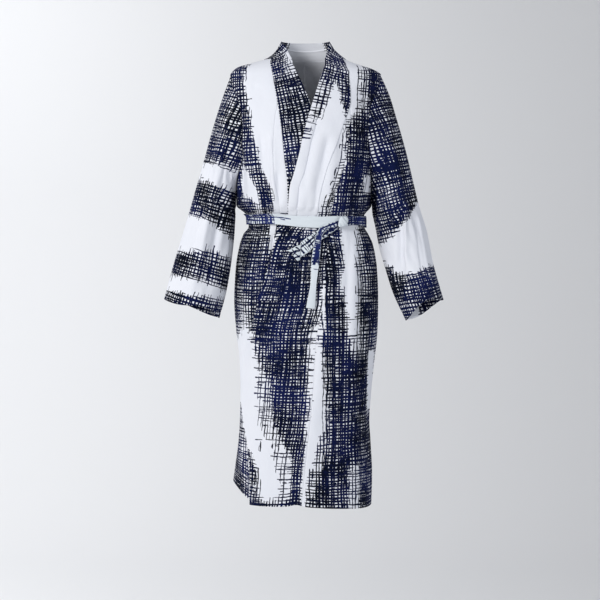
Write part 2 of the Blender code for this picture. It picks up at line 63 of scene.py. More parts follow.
# Cloth and layers
WALL = 1.2 * MM
CLOTH = 0.9 * MM
LAYER = 2.2 * MM
SEAM_GAP = 0.1 * MM
ARMHOLE_GAP = 0.3 * MM
ARMHOLE_TIP = 2.0 * MM
COLLAR_LAP = 8 * MM
SEAM_DIP = 0.9 * MM
SEAM_DIP_SPREAD = 2.0 * MM
ARMHOLE_DIP_SPREAD = SEAM_DIP_SPREAD / 0.75
HEM_DEPTH = 18 * MM
HEM_GROOVE = 0.55 * MM
HEM_GROOVE_SPREAD = 2.2 * MM
SEAM_ROWS = (0.0, 0.8, 1.8, 3.0, 4.4, 6.2)
SEAM_ROWS_FULL_FROM = 60 * MM
SEAM_ROWS_LEAST = 0.05

# Numerical steps for normals and arc lengths
ANGLE_STEP = 0.003
HEIGHT_STEP = 0.8 * MM
ARC_SAMPLES = 161
ARC_SPARE = 0.01
SECTION_SAMPLES = 4000

# Body sections in millimetres, from the collar's top down to the hem
SECTION_COLUMNS = ("z", "left", "right", "front", "back", "square")
SECTIONS = (
    (48, 57, 59, 8, 42, 2.0),
    (30, 68, 71, 16, 48, 2.0),
    (4, 96, 100, 30, 56, 2.0),
    (-1, 112, 109, 35, 60, 2.0),
    (-6, 130, 121, 39, 63, 2.1),
    (-10, 144, 132, 43, 66, 2.1),
    (-18, 172, 158, 50, 71, 2.1),
    (-24, 181, 175, 55, 74, 2.2),
    (-38, 192, 195, 64, 80, 2.2),
    (-60, 193, 195, 74, 88, 2.3),
    (-100, 189, 190, 88, 98, 2.4),
    (-150, 184, 185, 104, 105, 2.5),
    (-200, 181, 181, 118, 109, 2.5),
    (-260, 179, 177, 130, 110, 2.5),
    (-310, 178, 173, 135, 106, 2.5),
    (-350, 178, 171, 135, 102, 2.4),
    (-374, 176, 169, 131, 100, 2.4),
    (-388, 160, 160, 124, 98, 2.4),
    (-400, 147, 152, 119, 96, 2.4),
    (-429, 145, 153, 118, 96, 2.4),
    (-445, 156, 161, 122, 99, 2.4),
    (-476, 169, 175, 130, 106, 2.4),
    (-541, 179, 187, 140, 118, 2.4),
    (-619, 182, 190, 147, 126, 2.4),
    (-699, 177, 187, 150, 130, 2.4),
    (-780, 169, 179, 152, 133, 2.3),
    (-866, 166, 171, 154, 136, 2.3),
    (-931, 168, 167, 155, 138, 2.3),
    (-983, 172, 170, 156, 140, 2.3),
    (-1061, 182, 174, 158, 143, 2.3),
    (-1160, 198, 172, 160, 147, 2.3),
)

# Rows of the body panels in millimetres: from, to, step
ROW_RUNS = ((2, -26, 1), (-26, -40, 2), (-40, -1100, 4), (-1100, -1131, 2))
ARMHOLE_TOP = -38 * MM
ARMHOLE_BOTTOM = -374 * MM
ARMHOLE_HALF_DEPTH = 70 * MM
ARMHOLE_ROUNDNESS = 0.75
ARMHOLE_LAP = (-240 * MM, -325 * MM)
OKUMI_TOP = -120 * MM
OKUMI_EDGE_OUT = (-300 * MM, -395 * MM)
FRONT_TUCK = (-90 * MM, -118 * MM)
LEVEL_HEM = -1130 * MM
HEM_SHAPED_BELOW = -1000 * MM

# Edges and seams on the front, in millimetres: x, z
UNDER_COLLAR_SEAM = (
    (-90, 2), (-82, -46), (-74, -91), (-66, -136), (-58, -196), (-52, -260), (-45, -320), (-43, -393),
    (-26, -430), (4, -500), (40, -620),
)
UNDER_EDGE = (
    (-47, 30), (-23, -31), (-3, -76), (14, -121), (24, -183), (32, -250), (38, -320), (42, -393),
    (54, -430), (76, -500), (98, -600), (116, -700), (124, -800), (122, -900), (114, -1010), (106, -1130),
)
OVER_COLLAR_SEAM = (
    (99, 2), (111, -46), (114, -104), (96, -170), (73, -234), (52, -300), (38, -350), (30, -393),
    (2, -430), (-30, -484), (-58, -620),
)
OVER_EDGE = (
    (58, 34), (46, -30), (30, -78), (10, -145), (-8, -213), (-22, -275), (-38, -335), (-42, -393),
    (-68, -430), (-86, -484), (-108, -592), (-139, -691), (-154, -792), (-156, -890), (-147, -966),
    (-141, -1012), (-139, -1045), (-139, -1130),
)
UNDER_OKUMI_SEAM = (
    (-70, -120), (-76, -150), (-80, -219), (-78, -285), (-64, -385), (-57, -500), (-50, -600),
    (-35, -710), (-22, -850), (0, -1034), (8, -1130),
)
OVER_OKUMI_SEAM = (
    (112, -120), (115, -150), (112, -187), (104, -246), (94, -290), (76, -347), (63, -393), (55, -496),
    (50, -599), (30, -708), (20, -848), (0, -1034), (-8, -1130),
)
OVER_HEM = (
    (-200, -1133), (-139, -1133), (-50, -1131), (-20, -1126), (0, -1130), (80, -1138), (200, -1150),
)
UNDER_HEM = ((-200, -1088), (-186, -1092), (-139, -1120), (-110, -1122), (200, -1122))
BACK_LEFT_SIDE_HEM = -1150.5 * MM
BACK_RIGHT_SIDE_HEM = -1090 * MM

# Collar stations: heights on its seam and on its free edge near the neck, then one height for both
COLLAR_UPPER_STATIONS = (
    (2, 30), (-10, 12), (-26, -9), (-46, -31), (-68, -53), (-91, -76), (-113, -98), (-136, -121),
    (-166, -152), (-198, -185), (-232, -222), (-267, -262),
)
COLLAR_LOWER_HEIGHTS = (-302, -332, -356, -374, -392, -417, -445, -485, -520, -565, -615)
COLLAR_NECK_ANGLES = (-92, -268)
COLLAR_NECK_STATIONS = 19
COLLAR_NECK_LOW = -3 * MM
COLLAR_NECK_SIDE_LOW = 1 * MM
COLLAR_NECK_TOP = 48 * MM
COLLAR_FINE = 12
COLLAR_STRIP = 21 * MM
COLLAR_STEP = 1.6 * MM
COLLAR_CLOTH = 1.5 * MM
COLLAR_EDGE_TURN = 0.4 * MM
COLLAR_EDGE_SHARE = 0.03
COLLAR_LINE_DEPTH = 0.8 * MM
COLLAR_LINE_SPREAD = 1.8 * MM
COLLAR_STRIP_RISE = 1.1 * MM
COLLAR_SINK = 0.6 * MM
COLLAR_CREASE_STEPS = (2.6, 1.8, 1.2, 0.8, 0.4, 0.0, -0.8)
COLLAR_EDGE_ROWS = (14.0, 8.0, 4.0, 2.0, 1.0, 0.4, 0.0)
COLLAR_SEAM_SHARES = (0.0, 0.02, 0.05, 0.1, 0.2, 0.3, 0.4, 0.5, 0.6, 0.7, 0.8, 0.9)
COLLAR_MEASURED_ROW = 10

# Large folds of the body, as in the solids: x and z at the top, x and z at the end, half width, height
FRONT_FOLDS = (
    (68, -450, 14, -1125, 24, 4.0),
    (112, -445, 100, -1125, 24, -4.0),
    (14, -455, -46, -1125, 24, -3.5),
    (-72, -450, -104, -1000, 24, -4.0),
    (100, -170, 44, -372, 22, -3.0),
    (-104, -170, -96, -372, 20, -3.0),
)
BACK_FOLDS = (
    (-116, -445, -126, -1125, 24, -5.0),
    (-62, -450, -62, -1000, 26, 3.5),
    (-8, -445, 2, -1125, 26, -4.5),
    (58, -450, 70, -1050, 26, 3.5),
    (112, -445, 120, -1125, 24, -5.0),
    (-84, -150, -66, -372, 24, -4.0),
    (62, -160, 80, -372, 24, -4.0),
)
FOLD_ONSET = 70 * MM
FOLDS_FROM_SIDE = 0.25

# Creases laid over them, in millimetres: x and z at the start, x and z at the end, half width, height
FRONT_CREASES = (
    (66, -436, 26, -900, 11, 4.0),
    (84, -470, 48, -1125, 10, -3.0),
    (42, -450, -14, -1000, 10, -4.0),
    (122, -438, 112, -1000, 11, 4.5),
    (138, -470, 134, -1125, 10, -4.0),
    (100, -560, 82, -1125, 12, -3.5),
    (-8, -438, -40, -760, 10, -3.5),
    (-34, -440, -70, -1060, 12, 4.0),
    (-62, -434, -88, -560, 7, 3.5),
    (-78, -436, -96, -600, 7, -4.0),
    (-98, -440, -128, -860, 11, 4.0),
    (-122, -440, -146, -1080, 11, -4.0),
    (-150, -520, -166, -1125, 12, 3.5),
    (164, -560, 158, -1125, 12, -3.5),
    (-58, -820, -84, -1125, 13, -3.5),
    (8, -860, -22, -1125, 12, 3.5),
    (33, -150, -20, -402, 14, -3.5),
    (42, -190, -6, -402, 15, 4.5),
    (60, -190, 10, -404, 16, -6.5),
    (80, -200, 38, -404, 16, 5.5),
    (86, -262, 62, -402, 13, -4.0),
    (108, -250, 84, -400, 13, 3.5),
    (134, -230, 110, -398, 13, -3.5),
    (-88, -196, -75, -394, 8, 5.5),
    (-71, -286, -64, -394, 9, -5.5),
    (-166, -216, -160, -380, 8, -9.0),
    (-114, -190, -100, -386, 9, -3.5),
    (-134, -160, -120, -386, 10, 3.5),
    (-147, -200, -136, -386, 9, 3.5),
    (-120, -62, -166, -150, 14, -2.5),
    (134, -62, 172, -160, 14, -2.5),
)
BACK_CREASES = (
    (-136, -440, -146, -1125, 12, 4.0),
    (-98, -438, -106, -900, 10, 4.0),
    (-84, -470, -86, -1125, 10, -4.0),
    (-40, -438, -36, -980, 10, -4.5),
    (-24, -470, -18, -1125, 10, 3.5),
    (20, -438, 28, -1000, 11, 4.5),
    (38, -460, 46, -1125, 10, -4.5),
    (84, -440, 92, -960, 10, -4.0),
    (134, -440, 142, -1125, 12, 4.5),
    (-120, -180, -96, -386, 10, 4.0),
    (-58, -210, -44, -386, 9, 3.0),
    (-22, -240, -14, -386, 8, -3.5),
    (22, -220, 16, -386, 9, 3.0),
    (48, -190, 40, -386, 8, -3.5),
    (104, -170, 96, -386, 10, 4.0),
    (134, -200, 118, -386, 9, -4.0),
    (-70, -30, -150, -140, 16, -2.5),
    (84, -30, 156, -150, 16, -2.5),
)
CREASE_STEEP = 0.35
CREASE_WIDENING = (0.7, 0.5)
CREASE_START = (-0.04, 0.16)
CREASE_END = (1.04, 0.55)

# Soft ripples down the cloth and gathers at the belt
RIPPLES = 7
RIPPLE_LENGTHS = (38 * MM, 95 * MM)
RIPPLE_TALL = (260 * MM, 620 * MM)
RIPPLE_HEIGHT = 0.75 * MM
RIPPLE_SEED = 11
GATHER_LENGTHS = (13 * MM, 30 * MM)
GATHER_HEIGHT = 0.85 * MM
GATHER_SEED = 23
GATHER_EDGES = (-390 * MM, -436 * MM)
GATHER_ONSET = 14 * MM
GATHER_FADE = 75 * MM
WAIST_CALM = 45 * MM
NECK_CALM = (-10 * MM, -90 * MM)
DEPTH_IN_RIPPLES = 0.6

# The cloth is gathered at the waist, so the print is narrower there
WAIST_GATHER = 0.20
WAIST_MIDDLE = -412 * MM
WAIST_SPREAD = 90 * MM

# Sleeve sections in millimetres: outer x and z, inner x and z, middle y, half depth
SLEEVE_COLUMNS = ("outer_x", "outer_z", "inner_x", "inner_z", "middle_y", "half_depth")
SLEEVE_RIGHT = (
    (-216, -104, -181, -385, 0, 70),
    (-239, -177, -180, -398, -4, 74),
    (-264, -268, -181, -421, -11, 77),
    (-285, -341, -182, -444, -20, 78),
    (-301, -400, -185, -478, -30, 77),
    (-319, -462, -190, -524, -45, 75),
    (-341, -539, -202, -595, -60, 73),
    (-360, -612, -219, -661, -75, 72),
)
SLEEVE_LEFT = (
    (218, -89, 174, -386, 0, 70),
    (237, -151, 175, -398, -6, 74),
    (261, -237, 178, -413, -17, 77),
    (280, -320, 183, -439, -32, 78),
    (293, -377, 189, -475, -48, 77),
    (311, -441, 203, -528, -70, 75),
    (324, -517, 223, -595, -98, 73),
    (349, -611, 254, -664, -124, 72),
)
CUFF_ROUNDNESS = 0.5
SLEEVE_RINGS = 150
SLEEVE_WAYS = 84
SLEEVE_RIPPLE_LENGTHS = (36 * MM, 90 * MM)
SLEEVE_RIPPLE_TALL = (180 * MM, 420 * MM)
SLEEVE_RIPPLE_HEIGHT = 0.9 * MM
SLEEVE_RIPPLE_SLANT = 0.3
SLEEVE_CALM_TO = 35 * MM
SLEEVE_CALM_EDGE = 0.10
SLEEVE_TUCK = WALL + 1.0 * MM

# The cuffs open towards the front from this share of the sleeve on
CUFF_TILT_FROM = 0.82

# How close to the inner edge a cuff tilts most, how far its front lifts and how far its back drops
CUFF_TILT_RIGHT = (2.3, 20 * MM, 6 * MM)
CUFF_TILT_LEFT = (1.2, 29 * MM, 15 * MM)

# An unprinted patch on the left cuff: x, z, half width, half height
CUFF_BLANK = (274 * MM, -655 * MM, 20 * MM, 34 * MM)

# Creases of the sleeves on a flat drawing: share of the length, way across, the same at the end,
# half width in millimetres, height in millimetres
SLEEVE_FLAT_LENGTH = 570 * MM
SLEEVE_FLAT_WIDTH = 230 * MM
SLEEVE_CREASES = {
    "sleeve_right_front": (
        (0.02, 0.25, 0.55, 0.30, 13, 4.5),
        (0.03, 0.48, 0.50, 0.62, 13, -4.5),
        (0.06, 0.70, 0.42, 0.86, 10, 4.0),
        (0.30, 0.42, 1.00, 0.44, 17, 5.5),
        (0.30, 0.66, 1.00, 0.68, 20, -9.0),
        (0.20, 0.15, 0.80, 0.20, 11, -3.5),
        (0.40, 0.90, 0.98, 0.88, 10, 5.0),
        (0.50, 0.27, 1.00, 0.25, 9, -3.0),
    ),
    "sleeve_right_back": (
        (0.03, 0.30, 0.60, 0.26, 12, 4.0),
        (0.05, 0.55, 0.55, 0.58, 12, -4.5),
        (0.10, 0.80, 0.50, 0.70, 11, 4.0),
        (0.40, 0.40, 1.00, 0.36, 13, 4.5),
        (0.50, 0.70, 1.00, 0.72, 12, -4.5),
        (0.55, 0.15, 1.00, 0.20, 11, -3.5),
    ),
    "sleeve_left_front": (
        (0.02, 0.22, 0.50, 0.30, 12, 4.0),
        (0.03, 0.45, 0.52, 0.58, 12, -4.5),
        (0.06, 0.72, 0.40, 0.88, 10, 4.0),
        (0.25, 0.18, 0.85, 0.22, 11, -3.0),
        (0.52, 0.28, 0.90, 0.72, 9, 7.5),
        (0.56, 0.46, 0.92, 0.88, 17, -9.0),
        (0.62, 0.10, 1.00, 0.22, 8, 3.0),
        (0.62, 0.20, 1.00, 0.36, 9, -2.5),
        (0.72, 0.94, 1.00, 0.86, 9, 4.0),
    ),
    "sleeve_left_back": (
        (0.03, 0.28, 0.60, 0.32, 12, 4.0),
        (0.05, 0.52, 0.58, 0.56, 12, -4.5),
        (0.10, 0.78, 0.52, 0.74, 11, 4.0),
        (0.42, 0.42, 1.00, 0.40, 13, 4.5),
        (0.52, 0.72, 1.00, 0.68, 12, -4.5),
        (0.56, 0.18, 1.00, 0.16, 11, -3.5),
    ),
}

# Layers of the over front against the angle, in degrees
OVER_LIFT = 2 * LAYER
OVER_LIFT_ONSET = (-30 * MM, -90 * MM)
CHEST_LIFT_FADE = (24, 50)
SKIRT_LIFT_FADE = (48, 82)
CHEST_TO_SKIRT = (-330 * MM, -400 * MM)

# Belt: angle in degrees against the middle's height in millimetres
BELT_LINE = (
    (-180, -410), (-90, -407), (-35, -405), (-5, -413), (15, -417), (35, -413), (55, -411), (90, -417),
    (180, -410),
)
BELT_WIDTH = 31 * MM
BELT_FRONT_LIFT = 9.2 * MM
BELT_BACK_LIFT = 2.8 * MM
BELT_SEAT = 0.75 * MM
BELT_FADE = (55, 105)
BELT_COLUMNS = 420
BELT_SHARES = 19
BELT_PINCH = 0.22
BELT_PINCH_ANGLE = 45
BELT_PINCH_SPREAD = 9

# The belt's cloth: height along its middle, waves, and pleats at the knot with their height and count
BELT_CROWN = 0.35 * MM
BELT_WAVE = 0.3 * MM
BELT_WAVE_ACROSS = 3
BELT_WAVE_LENGTHS = (30 * MM, 60 * MM)
BELT_WAVE_TALL = (60 * MM, 140 * MM)
BELT_SEED = 5
BELT_PLEATS = (0.7 * MM, 3.0)

# The belt's two ends: x and z of their middle lines in millimetres
SHORT_TAIL_LINE = ((86, -417), (62, -434), (28, -458), (-2, -481), (-32, -502))
SHORT_TAIL_WIDTH = 24 * MM
SHORT_TAIL_FLARE = 0.24
SHORT_TAIL_LIFT = BELT_FRONT_LIFT + WALL + BELT_SEAT
LONG_TAIL_LINE = (
    (88, -413), (66, -423), (48, -432), (36, -450), (30, -485), (26, -536), (19, -586), (11, -632),
)
LONG_TAIL_WIDTH = 16 * MM
LONG_TAIL_LIFT = SHORT_TAIL_LIFT + WALL + BELT_SEAT

# Shares where an end flares, its gather at the knot, height and length of its wave, pleats as above
TAIL_STATIONS = 150
TAIL_SHARES = 15
TAIL_FLARES = (0.3, 0.8)
TAIL_GATHER = 22 * MM
TAIL_GATHERED = 0.35
TAIL_WAVE = (0.35 * MM, 62 * MM)
TAIL_PLEATS = (0.6 * MM, 2.5)
TAIL_BARE_EDGE = 0.05

# The knot: a rounded block, with two sizes of pleats given by their share, how often and from where
KNOT_CENTRE = (88 * MM, -415 * MM)
KNOT_HALF_SIZE = (13 * MM, 14 * MM)
KNOT_HALF_THICKNESS = 5 * MM
KNOT_LIFT = LONG_TAIL_LIFT + WALL + BELT_SEAT
KNOT_SEGMENTS = (64, 40)
KNOT_NARROW = 0.22
KNOT_SLANT = 2.5 * MM
KNOT_POWER = 3.0
KNOT_DEPTH_POWER = 2.2
KNOT_TAPER = 0.16
KNOT_PLEAT_WAY = (0.75, 0.8)
KNOT_PLEATS = (0.30, 4.6)
KNOT_SMALL_PLEATS = (0.17, 10.5, 0.7)

# Mesh columns across each panel
FRONT_COLUMNS = 62
BACK_COLUMNS = 66
OKUMI_COLUMNS = 34

# Printed areas of the fronts in millimetres: how full, then rows of height, from x, to x
FRONT_PRINT = (
    (1.0, ((40, -205, -146), (-27, -205, -146), (-57, -205, -156), (-108, -205, -146), (-133, -190, -141),
           (-158, -174, -136), (-208, -169, -126), (-259, -159, -116), (-284, -149, -108), (-309, -136, -96),
           (-334, -123, -83), (-360, -116, -80), (-400, -108, -78))),
    (1.0, ((-354, -180, -138), (-372, -180, -121), (-400, -180, -118))),
    (1.1, ((40, 156, 215), (-57, 154, 215), (-108, 150, 215), (-125, 142, 215), (-140, 130, 215),
           (-155, 116, 215), (-172, 104, 215), (-208, 99, 215), (-259, 98, 215), (-284, 90, 215),
           (-309, 80, 215), (-334, 74, 215), (-360, 62, 215), (-400, 44, 215))),
    # Painted shade: a solid navy strip along the right front's side by the sleeve, from z -226 to -376,
    # standing in for the shadowed gap between sleeve and body, partly the navy print that lies there
    (1.3, ((-226, -185, -163), (-300, -185, -162), (-376, -185, -159))),
    (0.55, ((-20, 131, 158), (-140, 131, 158))),
    (0.6, ((-360, 46, 76), (-400, 34, 62))),
    (0.2, ((-297, 146, 172), (-347, 146, 172))),
    (1.0, ((-400, -205, 28), (-435, -205, 28), (-561, -205, 28), (-600, -160, 28), (-662, -149, 28),
           (-687, -141, 26), (-712, -136, 23), (-763, -126, 18), (-788, -115, 18), (-813, -104, 17),
           (-864, -98, 15), (-914, -92, 13), (-939, -84, 11), (-964, -66, 8), (-1015, -42, 0),
           (-1065, -42, -5), (-1116, -48, -10), (-1180, -50, -12))),
    (0.52, ((-800, -128, -96), (-864, -126, -90), (-914, -122, -84), (-964, -100, -62), (-1015, -82, -40),
            (-1065, -70, -38), (-1180, -68, -40))),
    (1.0, ((-560, -215, -158), (-662, -215, -163), (-718, -215, -174))),
    (0.55, ((-400, -55, 32), (-448, -50, 34))),
    (0.0, ((-400, -88, -71), (-486, -90, -82))),
    (1.3, ((-550, -66, -10), (-618, -66, -10))),
    (1.08, ((-400, 33, 90), (-561, 35, 92), (-612, 36, 97), (-662, 38, 105), (-700, 42, 112), (-740, 44, 122),
           (-775, 45, 150), (-800, 48, 215), (-864, 54, 215), (-914, 54, 215), (-964, 51, 215),
           (-1015, 42, 215), (-1050, 29, 215), (-1090, 14, 215), (-1180, -2, 215))),
    (1.0, ((-400, 135, 215), (-700, 135, 215), (-750, 131, 215), (-800, 120, 215), (-860, 90, 215))),
    (0.45, ((-690, 8, 34), (-864, 6, 30))),
    (0.66, ((-950, 28, 54), (-985, 24, 48), (-1015, 16, 44), (-1050, 6, 34), (-1090, -2, 20),
            (-1180, -8, 8))),
    (0.15, ((-574, 43, 51), (-690, 43, 50))),
    (0.0, ((-735, 28, 38), (-813, 22, 38), (-864, 20, 40), (-914, 14, 40), (-964, 6, 30), (-1015, 0, 17),
           (-1045, -4, 7), (-1075, -6, 1), (-1180, -12, -4))),
    (0.05, ((-745, 160, 180), (-905, 158, 178))),
    (0.48, ((-1030, 110, 142), (-1180, 106, 146))),
    (0.74, ((-880, -215, -157), (-947, -215, -149), (-1015, -215, -139), (-1180, -215, -130))),
    (1.0, ((-1030, -215, -150), (-1180, -215, -130))),
)
OVER_OKUMI_PRINT = FRONT_PRINT[:-2] + (
    (0.42, ((-945, -126, -110), (-1000, -124, -108))),
    (0.8, ((-985, -170, -142), (-1020, -165, -130), (-1050, -160, -120), (-1180, -160, -117))),
    (1.0, ((-1118, -150, 0), (-1180, -150, 0))),
)
BACK_PRINT = (
    (1.0, ((40, -205, -128), (-60, -205, -132), (-150, -196, -118), (-240, -176, -86), (-320, -150, -52),
           (-400, -120, -28))),
    (1.0, ((40, 146, 215), (-90, 140, 215), (-130, 96, 215), (-220, 70, 215), (-300, 62, 215),
           (-400, 44, 215))),
    (0.8, ((-250, -26, 40), (-310, -14, 52), (-400, -8, 44))),
    (1.0, ((-400, -128, -24), (-520, -140, -18), (-640, -136, -26), (-780, -118, -40), (-900, -100, -34),
           (-1010, -84, -10), (-1180, -70, 16))),
    (1.0, ((-400, 44, 215), (-560, 52, 215), (-650, 72, 215), (-710, 104, 215), (-745, 132, 215))),
    (1.0, ((-700, 18, 92), (-800, 10, 84), (-880, 22, 110), (-915, 34, 215), (-1000, 52, 215),
           (-1100, 66, 215), (-1180, 72, 215))),
    (1.0, ((-400, -215, -170), (-600, -215, -166), (-720, -215, -176))),
    (1.0, ((-900, -215, -176), (-980, -215, -158), (-1080, -215, -136), (-1180, -215, -128))),
    (0.5, ((-480, -24, 4), (-700, -26, 0), (-900, -30, -4))),
)
UNDER_COLLAR_PRINT = (
    (0.94, ((80, -120, 60), (-60, -120, 60), (-300, -120, 60), (-336, -60, 60))),
    (0.45, ((22, -55, -24), (-42, -52, -22))),
    (0.85, ((-322, -60, -10), (-360, -52, -10), (-420, -51, -10))),
)
OVER_COLLAR_PRINT = (
    (0.92, ((80, 20, 130), (-50, 20, 130), (-86, 20, 130))),
    (0.66, ((-72, 20, 74), (-110, 14, 66), (-150, 8, 52), (-168, 2, 44))),
    (0.9, ((-72, 84, 130), (-110, 88, 130), (-162, 94, 130))),
    (0.0, ((-64, 75, 79), (-86, 70, 84), (-110, 62, 88), (-140, 50, 94), (-176, 36, 100))),
    (0.60, ((-150, -6, 30), (-180, -10, 22), (-222, -20, 8))),
    (1.0, ((-404, -160, 60), (-660, -160, 60))),
    (0.0, ((-400, -87, -72), (-486, -89, -82))),
    (1.3, ((-550, -66, -10), (-640, -66, -10))),
)

# How full the print is round the neck, then on the sleeves: how full, upper and lower edges at each x
NECK_PRINT_DEGREES = (
    (-92, 1.0), (-120, 1.0), (-140, 0.4), (-160, 0.0), (-205, 0.0), (-225, 0.5), (-245, 1.0),
    (-268, 1.0),
)
SLEEVE_PRINT_X = (180, 250, 320)
SLEEVE_RIGHT_PRINT = (
    (0.87, (90, 90, 90), (-286, -267, -252)),
    (0.92, (-338, -308, -298), (-470, -412, -396)),
    (0.92, (-514, -482, -490), (-606, -568, -557)),
    (0.95, (-617, -603, -589), (-900, -900, -900)),
)
SLEEVE_LEFT_PRINT = (
    (1.0, (90, 90, 90), (-486, -419, -315)),
    (1.0, (-508, -545, -522), (-900, -900, -900)),
)

# How full the print is round the belt by degrees, and down its two ends by shares of their length
BELT_PRINT_DEGREES = (
    (-180, 0.9), (-150, 0.0), (-112, 0.0), (-100, 1.0), (-62, 0.95), (-53, 0.62), (-46, 0.62), (-39, 1.0),
    (-33, 0.9), (-28, 0.34), (-18, 0.30), (-12, 0.0), (34, 0.0), (41, 1.0), (92, 1.0),
    (104, 0.0), (140, 0.0), (156, 0.9), (180, 0.9),
)
SHORT_TAIL_PRINT = ((0.0, 0.9), (0.30, 0.9), (0.42, 0.62), (1.0, 0.62))
LONG_TAIL_PRINT = ((0.0, 0.8), (0.52, 0.78), (0.62, 0.3), (0.7, 0.0), (1.0, 0.0))

# How softly printed areas end
PRINT_SOFT = 30 * MM
PRINT_SOFT_SHARE = 0.35
PRINT_SOFT_END = 17 * MM
SLEEVE_PRINT_SOFT = 21 * MM
PRINT_SOFT_LEAST = 4 * MM

# Sleeves: side, sections, printed bands, tilt of the cuff
SLEEVES = {
    "sleeve_right": (-1, SLEEVE_RIGHT, SLEEVE_RIGHT_PRINT, CUFF_TILT_RIGHT),
    "sleeve_left": (1, SLEEVE_LEFT, SLEEVE_LEFT_PRINT, CUFF_TILT_LEFT),
}

# The belt's ends: line, width, lift, flare, print
TAILS = {
    "belt_tail_short": (
        SHORT_TAIL_LINE, SHORT_TAIL_WIDTH, SHORT_TAIL_LIFT, SHORT_TAIL_FLARE, SHORT_TAIL_PRINT,
    ),
    "belt_tail_long": (LONG_TAIL_LINE, LONG_TAIL_WIDTH, LONG_TAIL_LIFT, 0.0, LONG_TAIL_PRINT),
}

# Where each piece is cut on the endless print, in metres, so that no two repeat
CUT_PLACES = {
    "front_right": 0.0,
    "front_left": 1.37,
    "okumi_right": 2.71,
    "okumi_left": 3.93,
    "back_left": 5.21,
    "back_right": 6.43,
    "collar": 8.11,
    "belt_band": 9.3,
    "sleeve_right": 10.3,
    "sleeve_left": 11.9,
    "belt_tail_short": 13.1,
    "belt_tail_long": 14.7,
}

# Radians that keep the line a panel's cut is measured from beside the panel
REFERENCE_STEP = 0.001

# Kept on the cloth: its cut lengths across and down, and how full the print is
CLOTH_NUMBERS = ("cut_u", "cut_v", "ink")

# Strokes of the print: spacing, half width at least, with the print's fullness and by chance as shares
# of the spacing, the fullness that keeps a stroke, its range, and how often strokes break off
STROKES_MAIN = (8.2 * MM, 0.088, 0.125, 0.11, 0.10, 0.66, 30.0)
STROKES_EXTRA = (10.3 * MM, 0.050, 0.075, 0.07, 0.38, 0.62, 30.0)

# How unevenly a stroke runs: share of the spacing, scale of the noise
STROKE_WANDER = (2.0, 12.0)
STROKE_WOBBLE = (0.43, 60.0)
STROKE_SWELL = (0.34, 80.0)
STROKE_ROUGH = (0.14, 560.0)
WANDER_STRETCH = (1.6, 0.6)
WOBBLE_SEED = 3.0
ROUGH_SEED = 7.0

# Where strokes lie in their spacing, how soft their sides are, and where they break off
STROKE_CENTRE = (0.32, 0.36)
STROKE_SOFT = 0.035
BREAK_LEVEL = 0.60
BREAK_STRETCH = 0.3
BREAK_SEED = 1.7
BREAK_GAIN = (4.5, 1.1)
KEEP_GAIN = 1.18
KEEP_SOFT = 0.02

# How full the strokes are drawn, which cells are filled, and the seeds of their chances
FULL_FROM = 0.4
FULL_GAIN = 1.6
CLOUD = (1.9, 16.0)
CELL_FULL_SHARE = 0.5
CELL_FILLED_FROM = 0.96
SEED_DOWN = 1.5
SEED_OVER = 12.5
SEED_EXTRA_DOWN = 23.5
SEED_EXTRA_OVER = 34.5
SEED_CELL = 4.5

# Clouds in the navy, each with its share and its scale, and in the white
TONE_NOISES = ((0.72, 9.0), (0.28, 130.0))
TONE_RANGE = (0.36, 0.66)
WHITE_NOISE = 14.0

# Weave and crinkle: stretch and scale of the noise, strength and height of the bumps
THREAD = 0.75 * MM
SLUB_STRETCH = 9.0
SLUB_SCALE = 140.0
SLUB_HEIGHT = 1.6
CRINKLE_STRETCH = 0.45
CRINKLE_SCALE = 60.0
WEAVE_BUMP = (0.22, 0.12 * MM)
CRINKLE_BUMP = (0.45, 2.2 * MM)
COTTON_LOOK = {
    "Roughness": 0.88,
    "Specular IOR Level": 0.06,
    "Sheen Weight": 0.012,
    "Sheen Roughness": 0.5,
}
BACKDROP_LOOK = {"Roughness": 0.95, "Specular IOR Level": 0.1}

# Colours
COTTON_WHITE = (0.80, 0.818, 0.872, 1.0)
COTTON_SHADE = (0.755, 0.778, 0.845, 1.0)
NAVY_DARK = (0.0010, 0.0028, 0.0085, 1.0)
NAVY_BRIGHT = (0.0056, 0.0106, 0.0620, 1.0)
BELT_NAVY_DARK = (0.0032, 0.0064, 0.0300, 1.0)
BELT_NAVY_BRIGHT = (0.0190, 0.0300, 0.1450, 1.0)
BELT_WHITE = (0.71, 0.765, 0.81, 1.0)
BELT_SHADE = (0.66, 0.715, 0.765, 1.0)
BACKDROP_GREY = (0.80, 0.803, 0.812, 1.0)

# Camera and lights
CAMERA_PLACE = (-0.013, -4.0, -0.40)
CAMERA_AIM = (-0.013, 0.0, -0.619)
FRAME_WIDTH = 1.56
CAMERA_DISTANCE = 4.0
FLOOR_Z = -2.25
BACKDROP_BACK = 6.0
BACKDROP_RADIUS = 2.0
BACKDROP_TOP = 5.4
BACKDROP_FRONT = -6.5
BACKDROP_HALF_WIDTH = 9.0
BACKDROP_STEPS = 24
AIR_COLOUR = (0.93, 0.95, 1.0, 1.0)
AIR_STRENGTH = 0.40

# Soft lights: place, target, width and height, power, colour
LIGHTS = {
    "key": ((-2.6, -2.9, 0.9), (0.0, 0.0, -0.55), (1.3, 1.7), 108.0, (1.0, 0.99, 0.975)),
    "fill": ((3.4, -2.7, 0.1), (0.0, 0.0, -0.6), (2.4, 2.4), 40.0, (0.93, 0.96, 1.0)),
    "back": ((-2.6, 3.5, 1.6), (-1.7, 5.7, -0.7), (3.3, 3.0), 60.0, (0.98, 0.99, 1.0)),
    "floor": ((-2.9, 1.8, 0.7), (-1.8, 3.1, -2.2), (1.8, 1.8), 47.0, (0.98, 0.99, 1.0)),
}


